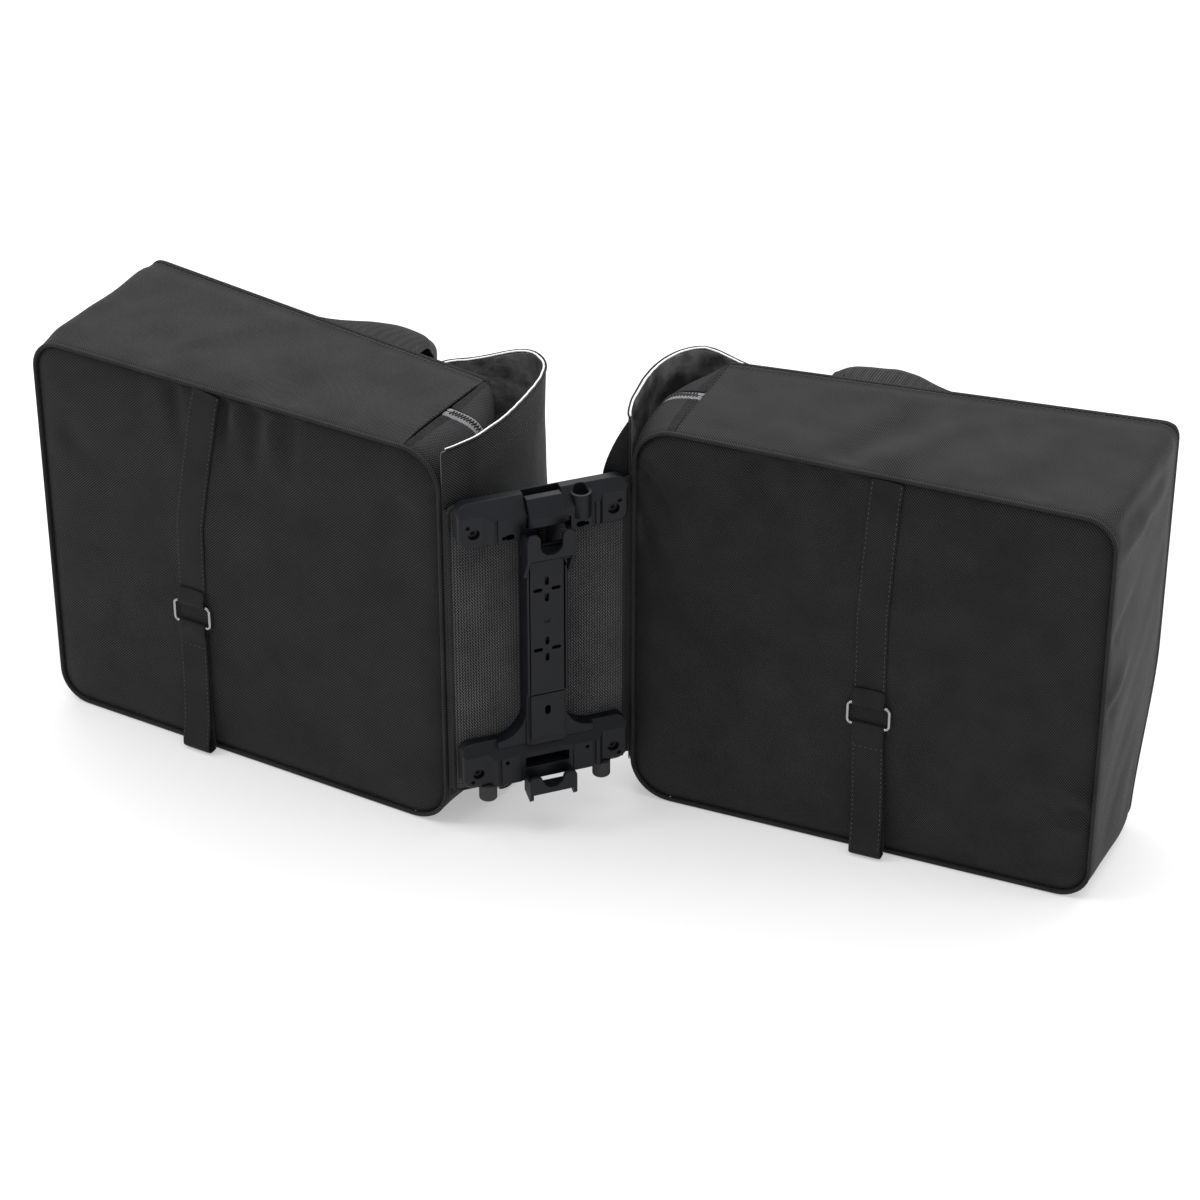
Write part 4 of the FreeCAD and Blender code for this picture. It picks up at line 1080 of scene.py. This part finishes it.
def add_teeth(side):
    """Moulded teeth, small bevelled blocks that mesh along the zip's middle."""
    blocks = {name: ([], []) for name in ZIP_PARTS}
    path = top_path(ZIP_V, 0.0)
    along = directions(path)
    # A block's three levels: height, half its length along the zip, and its near and far ends across it.
    levels = ((-0.9, 0.55, 0.0, TOOTH_REACH), (0.15, 0.55, -0.1, TOOTH_REACH), (0.55, 0.3, 0.4, TOOTH_REACH - 0.5))
    for row, sign in enumerate((-1, 1)):
        for n in range(2, len(path) - 2):
            centre = path[n] + along[n] * TOOTH_PITCH * 0.5 * row
            up = np.array([along[n][1], -along[n][0]])
            points, faces = blocks[zip_part(centre[1], sign < 0)]
            faces += rod_faces(len(levels), 4, first=len(points))
            for height, half, near, far in levels:
                for step, reach in ((-1, near), (-1, far), (1, far), (1, near)):
                    at = centre + along[n] * half * step + up * height
                    points.append((at[0], ZIP_V + sign * reach, at[1]))
    for name, (points, faces) in blocks.items():
        piece = make_object(f"{side}_{name}_teeth", place(side, points), faces, [(0.0, 0.0)] * len(points), TEETH,
                            levels=0)
        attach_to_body(piece, f"{side}_{ZIP_PARTS[name]}")


# ---- lid ----
def lid_grid(side, offset):
    """Points of the lid at an offset from its middle line; its free stretch waves gently along the bag."""
    profile = smooth_line(SIDES[side]["lid"], CELL)
    along = directions(profile)
    zs = np.linspace(LID_Z[0], LID_Z[1], 66)
    run = distances(profile)
    s, z = np.meshgrid(run, zs, indexing="ij")
    middle = (LID_Z[0] + LID_Z[1]) / 2
    narrow = LID_TAPER * ease(s, run[-1] - 80.0, run[-1] - 22.0)
    narrow = narrow + LID_ROOT_RISE * ease(s, 70.0, 15.0) * (z < middle)
    z = middle + (z - middle) * (1 - narrow / (LID_Z[1] - middle))
    free = ease(s, 12.0, 60.0)
    height = offset + free * uneven(side, "lid", s, z)
    if offset < 0:                 # the lining is creased and hangs a little clear of the cloth
        height += 0.6 * free * ripple(s, z, 8.0, 45.0, SIDES[side]["seed"] + 47) - 0.5 * free
    u = profile[:, :1] - along[:, 1:] * height
    v = profile[:, 1:] + along[:, :1] * height
    pressed = LID_PRESSED * ease(z, 75.0, 12.0) * ease(v, 0.0, 14.0) * ease(v, 150.0, 95.0)
    return np.stack([u + pressed, v, z], axis=-1), run, zs


def add_lid(side):
    """Lid flap and coated lining, with a reflective bead and a dark binding along both ends."""
    inside = place(side, (75.0, 75.0, LENGTH / 2))
    # Each cloth: its offset from the lid's middle line, its look, and the nodes that it stands for.
    facts = (("lid_cloth", 0.9, FABRIC, "bag_fabric", ("lid", "fold_web")),
             ("lid_lining_cloth", -0.7, LINING, "coated_lining", ("lid_lining",)))
    for name, offset, material, slot, nodes in facts:
        grid, run, zs = lid_grid(side, offset)
        piece = make_sheet(f"{side}_{name}", place(side, grid), weave_grid(run, zs), material,
                           math.copysign(THICKNESS["lid"], offset), inside=inside)
        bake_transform(piece)
        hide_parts(*[f"{side}_{node}" for node in nodes])
    for name, offset, material, slot in (("piping", -0.5, REFLECTIVE, "reflective"),
                                         ("binding", 0.9, PIPING, "bag_fabric")):
        grid = lid_grid(side, offset)[0]
        for n, column in enumerate((0, -1)):
            line = grid[LID_EDGE_STARTS[n]:, column].copy()
            line[:, 2] += EDGE_RISE if column else -EDGE_RISE
            edge = tube(f"{side}_lid_{name}_{n + 1}", place(side, line), LID_EDGE_R, material, sides=8)
            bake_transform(edge)
            if name == "piping" and n == 0:
                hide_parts(f"{side}_lid_piping")


# ---- pocket ----
def add_pocket(side):
    """Outer pocket, open towards the lid: full at its mouth and flat further down."""
    profile = smooth_line([(u, outer_v(u) + proud) for u, proud in POCKET_PROFILE], CELL)
    zs = np.concatenate([POCKET_Z[:1], np.linspace(POCKET_Z[0], POCKET_Z[1], 78), POCKET_Z[1:]])
    u, z = np.meshgrid(profile[:, 0], zs, indexing="ij")
    full = np.repeat(profile[:, 1:], len(zs), axis=1)
    half = (POCKET_Z[1] - POCKET_Z[0]) / 2
    from_end = half - np.abs(z - (POCKET_Z[0] + POCKET_Z[1]) / 2)
    swell = 0.72 + 0.28 * ease(from_end, 0.0, 16.0)
    swell[:, [0, -1]] = 0.0        # its two ends close against the bag
    floor = outer_v(u) + 1.5 + 5.0 * ease(np.minimum(from_end, HEIGHT - u), 0.0, 60.0)
    crumple = SIDES[side]["crumple"] * uneven(side, "pocket", u, z)
    near_mouth = ease(u, 200.0, 130.0)
    v = floor + np.maximum(full - floor, 1.5) * swell + crumple * swell * (0.25 + 0.75 * near_mouth)
    grid = slump(side, np.stack([u, v, z], axis=-1))
    hem = grid[0] + (9.0, -1.8, 0.0)
    lip = grid[0] - (0.8, 0.8, 0.0)
    grid = np.concatenate([hem[None], lip[None], grid])
    run = distances(grid[:, grid.shape[1] // 2])
    piece = make_sheet(f"{side}_pocket_cloth", place(side, grid), weave_grid(run, zs), FABRIC,
                       THICKNESS["pocket"], inside=place(side, BAG_MIDDLE))
    attach(piece, f"{side}_bag", f"{side}_pocket")


# ---- bridge ----
def add_bridge():
    """Mesh cloth on the rack side and padded cover on the other, round the board and foam."""
    half = BRIDGE_HALF
    x, z = np.meshgrid(spaced(-half, half), spaced(BRIDGE_Z[0], BRIDGE_Z[1]), indexing="ij")
    edge = np.minimum(half - np.abs(x), np.minimum(z - BRIDGE_Z[0], BRIDGE_Z[1] - z))
    weave = [(a * MM, b * MM) for a, b in zip(x.ravel(), z.ravel())]
    inside = tuple(bridge_point(0.0, 0.0, 160.0))
    # Each cloth: its y, how far its edge rolls in, its slope beyond COVER_HALF, its look, and its nodes.
    faces = (("front", -4.0, 2.6, 0.0, MESH, "bridge_mesh", ("bridge_fabric",)),
             ("back", 3.4, -2.4, COVER_SLOPE, FABRIC, "bag_fabric", ("bridge_cover", "bridge_board", "bridge_foam")))
    for name, surface, roll, slope, material, slot, nodes in faces:
        y = surface + roll * np.exp(-((edge / 4.0) ** 1.3)) - 0.25 * np.sign(roll) * ease(edge, 4, 30)
        y = y - 0.2 * ripple(x, z, 40.0, 60.0, 70.0) * ease(edge, 4.0, 20.0)
        y = y - slope * ease(np.abs(x), COVER_HALF, half)
        grid = np.stack([x, y, z], axis=-1) * MM + np.array(ORIGIN)
        piece = make_sheet(f"bridge_{name}_cloth", grid, weave, material, THICKNESS["bridge"], inside=inside)
        attach(piece, "carrier", *nodes)
    line = outline_box(half - 0.2, BRIDGE_Z[0] + 0.2, BRIDGE_Z[1] - 0.2)
    binding = tube("bridge_binding", [bridge_point(a, -0.3, b) for a, b in line], BINDING_R, PIPING,
                   closed=True)
    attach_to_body(binding, "carrier")


def outline_box(half, low, high, radius=5.0):
    """A rounded rectangle as (x, z) points."""
    points = []
    for sx, sz, start in ((1, -1, -90), (1, 1, 0), (-1, 1, 90), (-1, -1, 180)):
        centre_z = high - radius if sz > 0 else low + radius
        points += arc_points((sx * (half - radius), centre_z), radius, start, start + 90, 6)
    return points


def add_fold_web(side):
    """Cloth that joins the bridge's long edge to the bag, where the bag folds."""
    out = -1.0 if SIDES[side]["mirrored"] else 1.0
    start = bridge_point(out * (BRIDGE_HALF - 1.0), -1.0, 160.0)
    end = Vector(place(side, (3.2, 2.0, 160.0)))
    middle = Vector(place(side, (0.0, 0.5, 160.0)))
    line = smooth_line([tuple(start), tuple((start + middle) / 2), tuple(middle), tuple(end)], 1.0 * MM)
    zs = np.linspace(BRIDGE_Z[0] + 1, BRIDGE_Z[1] - 1, 50)
    grid = np.array([[(p[0], p[1], z * MM) for z in zs] for p in line])
    weave = weave_grid(range(len(line)), zs)
    piece = make_sheet(f"{side}_fold_cloth", grid, weave, FABRIC, THICKNESS["fold"])
    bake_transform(piece)


def add_lid_root():
    """Corner of the right lid's cloth, which runs from the bridge's top edge up to the panel's corner."""
    rows = []
    low = BRIDGE_Z[1] - 14.0
    for share in np.linspace(0.0, 1.0, 13):
        x = HINGE_X + 4.0 - ROOT_REACH * (1 - share)
        high = BRIDGE_Z[1] + 2.0 + ROOT_HEIGHT * share ** 0.75
        y = 4.6 + 1.4 * math.sin(share * 3.0)
        rows.append([tuple(bridge_point(x, y, z)) for z in np.linspace(low, high, 12)])
    grid = np.array(rows)
    weave = [(x, z) for x, y, z in flat_list(grid)]
    piece = make_sheet("right_lid_root_cloth", grid, weave, FABRIC, THICKNESS["root"],
                       inside=tuple(bridge_point(60.0, 40.0, 290.0)))
    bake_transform(piece)


# ---- parts that keep their solids ----
NODE_MATERIALS = {
    "adapter_frame": PLASTIC, "rear_hook": PLASTIC, "jaw": PLASTIC, "release_lever": PLASTIC,
    "lever_pin": STEEL, "adapter_screws": BLACK_STEEL, "adapter_nuts": STEEL, "jaw_spring": BLACK_STEEL,
    "lock_barrel": LOCK_METAL, "adapter_buffers": RUBBER,
}
for side_name in SIDES:
    NODE_MATERIALS[f"{side_name}_strap_ring"] = CHROME
    NODE_MATERIALS[f"{side_name}_zip_slider"] = LACQUER
    NODE_MATERIALS[f"{side_name}_zip_puller"] = LACQUER


def dress_nodes():
    """Gives the parts that keep their solids their detailed materials."""
    for name, material in NODE_MATERIALS.items():
        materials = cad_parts[name].data.materials
        materials.clear()
        materials.append(material)


# ---- studio ----
def add_light(name, location, energy, size):
    """A square lamp that faces the bags."""
    data = bpy.data.lights.new(name, "AREA")
    data.energy = energy
    data.shape = "RECTANGLE"
    data.size = data.size_y = size
    light = bpy.data.objects.new(name, data)
    light.location = location
    direction = Vector(LIGHT_TARGET) - Vector(location)
    light.rotation_euler = direction.to_track_quat("-Z", "Y").to_euler()
    bpy.context.scene.collection.objects.link(light)


def add_studio():
    """Plain pale floor, even sky and three soft lamps."""
    mesh = bpy.data.meshes.new("floor")
    corners = ((-1, -1), (1, -1), (1, 1), (-1, 1))
    mesh.from_pydata([(x * FLOOR_REACH, y * FLOOR_REACH, -FLOOR_DROP) for x, y in corners], [], [(0, 1, 2, 3)])
    paper = Shader("floor_paper", (FLOOR_GREY, FLOOR_GREY, FLOOR_GREY), 0.95)
    paper.set("Emission Color", (1.0, 1.0, 1.0, 1.0))
    paper.set("Emission Strength", FLOOR_GLOW)
    mesh.materials.append(paper.material)
    floor = bpy.data.objects.new("floor", mesh)
    bpy.context.scene.collection.objects.link(floor)
    world = bpy.data.worlds.new("studio")
    world.use_nodes = True
    sky = world.node_tree.nodes["Background"]
    sky.inputs["Color"].default_value = (1.0, 1.0, 1.0, 1.0)
    sky.inputs["Strength"].default_value = SKY_STRENGTH
    bpy.context.scene.world = world
    bpy.context.scene.view_settings.view_transform = "Standard"
    for name, location, energy, size in LIGHTS:
        add_light(name, location, energy, size)


def add_camera():
    """A long lens above the bags, a little to the left of the bridge."""
    data = bpy.data.cameras.new("camera")
    data.sensor_width = 36.0
    data.lens = CAMERA_LENS
    data.clip_end = 50.0
    camera = bpy.data.objects.new("camera", data)
    camera.location = CAMERA_PLACE
    camera.rotation_euler = [math.radians(turn) for turn in CAMERA_TURN]
    bpy.context.scene.collection.objects.link(camera)
    bpy.context.scene.camera = camera


add_camera()
add_studio()
dress_nodes()
add_bridge()
add_lid_root()
for side_name in SIDES:
    add_shell(side_name)
    add_back_panel(side_name)
    add_piping(side_name)
    add_straps(side_name)
    add_zip(side_name)
    add_lid(side_name)
    add_pocket(side_name)
    add_fold_web(side_name)
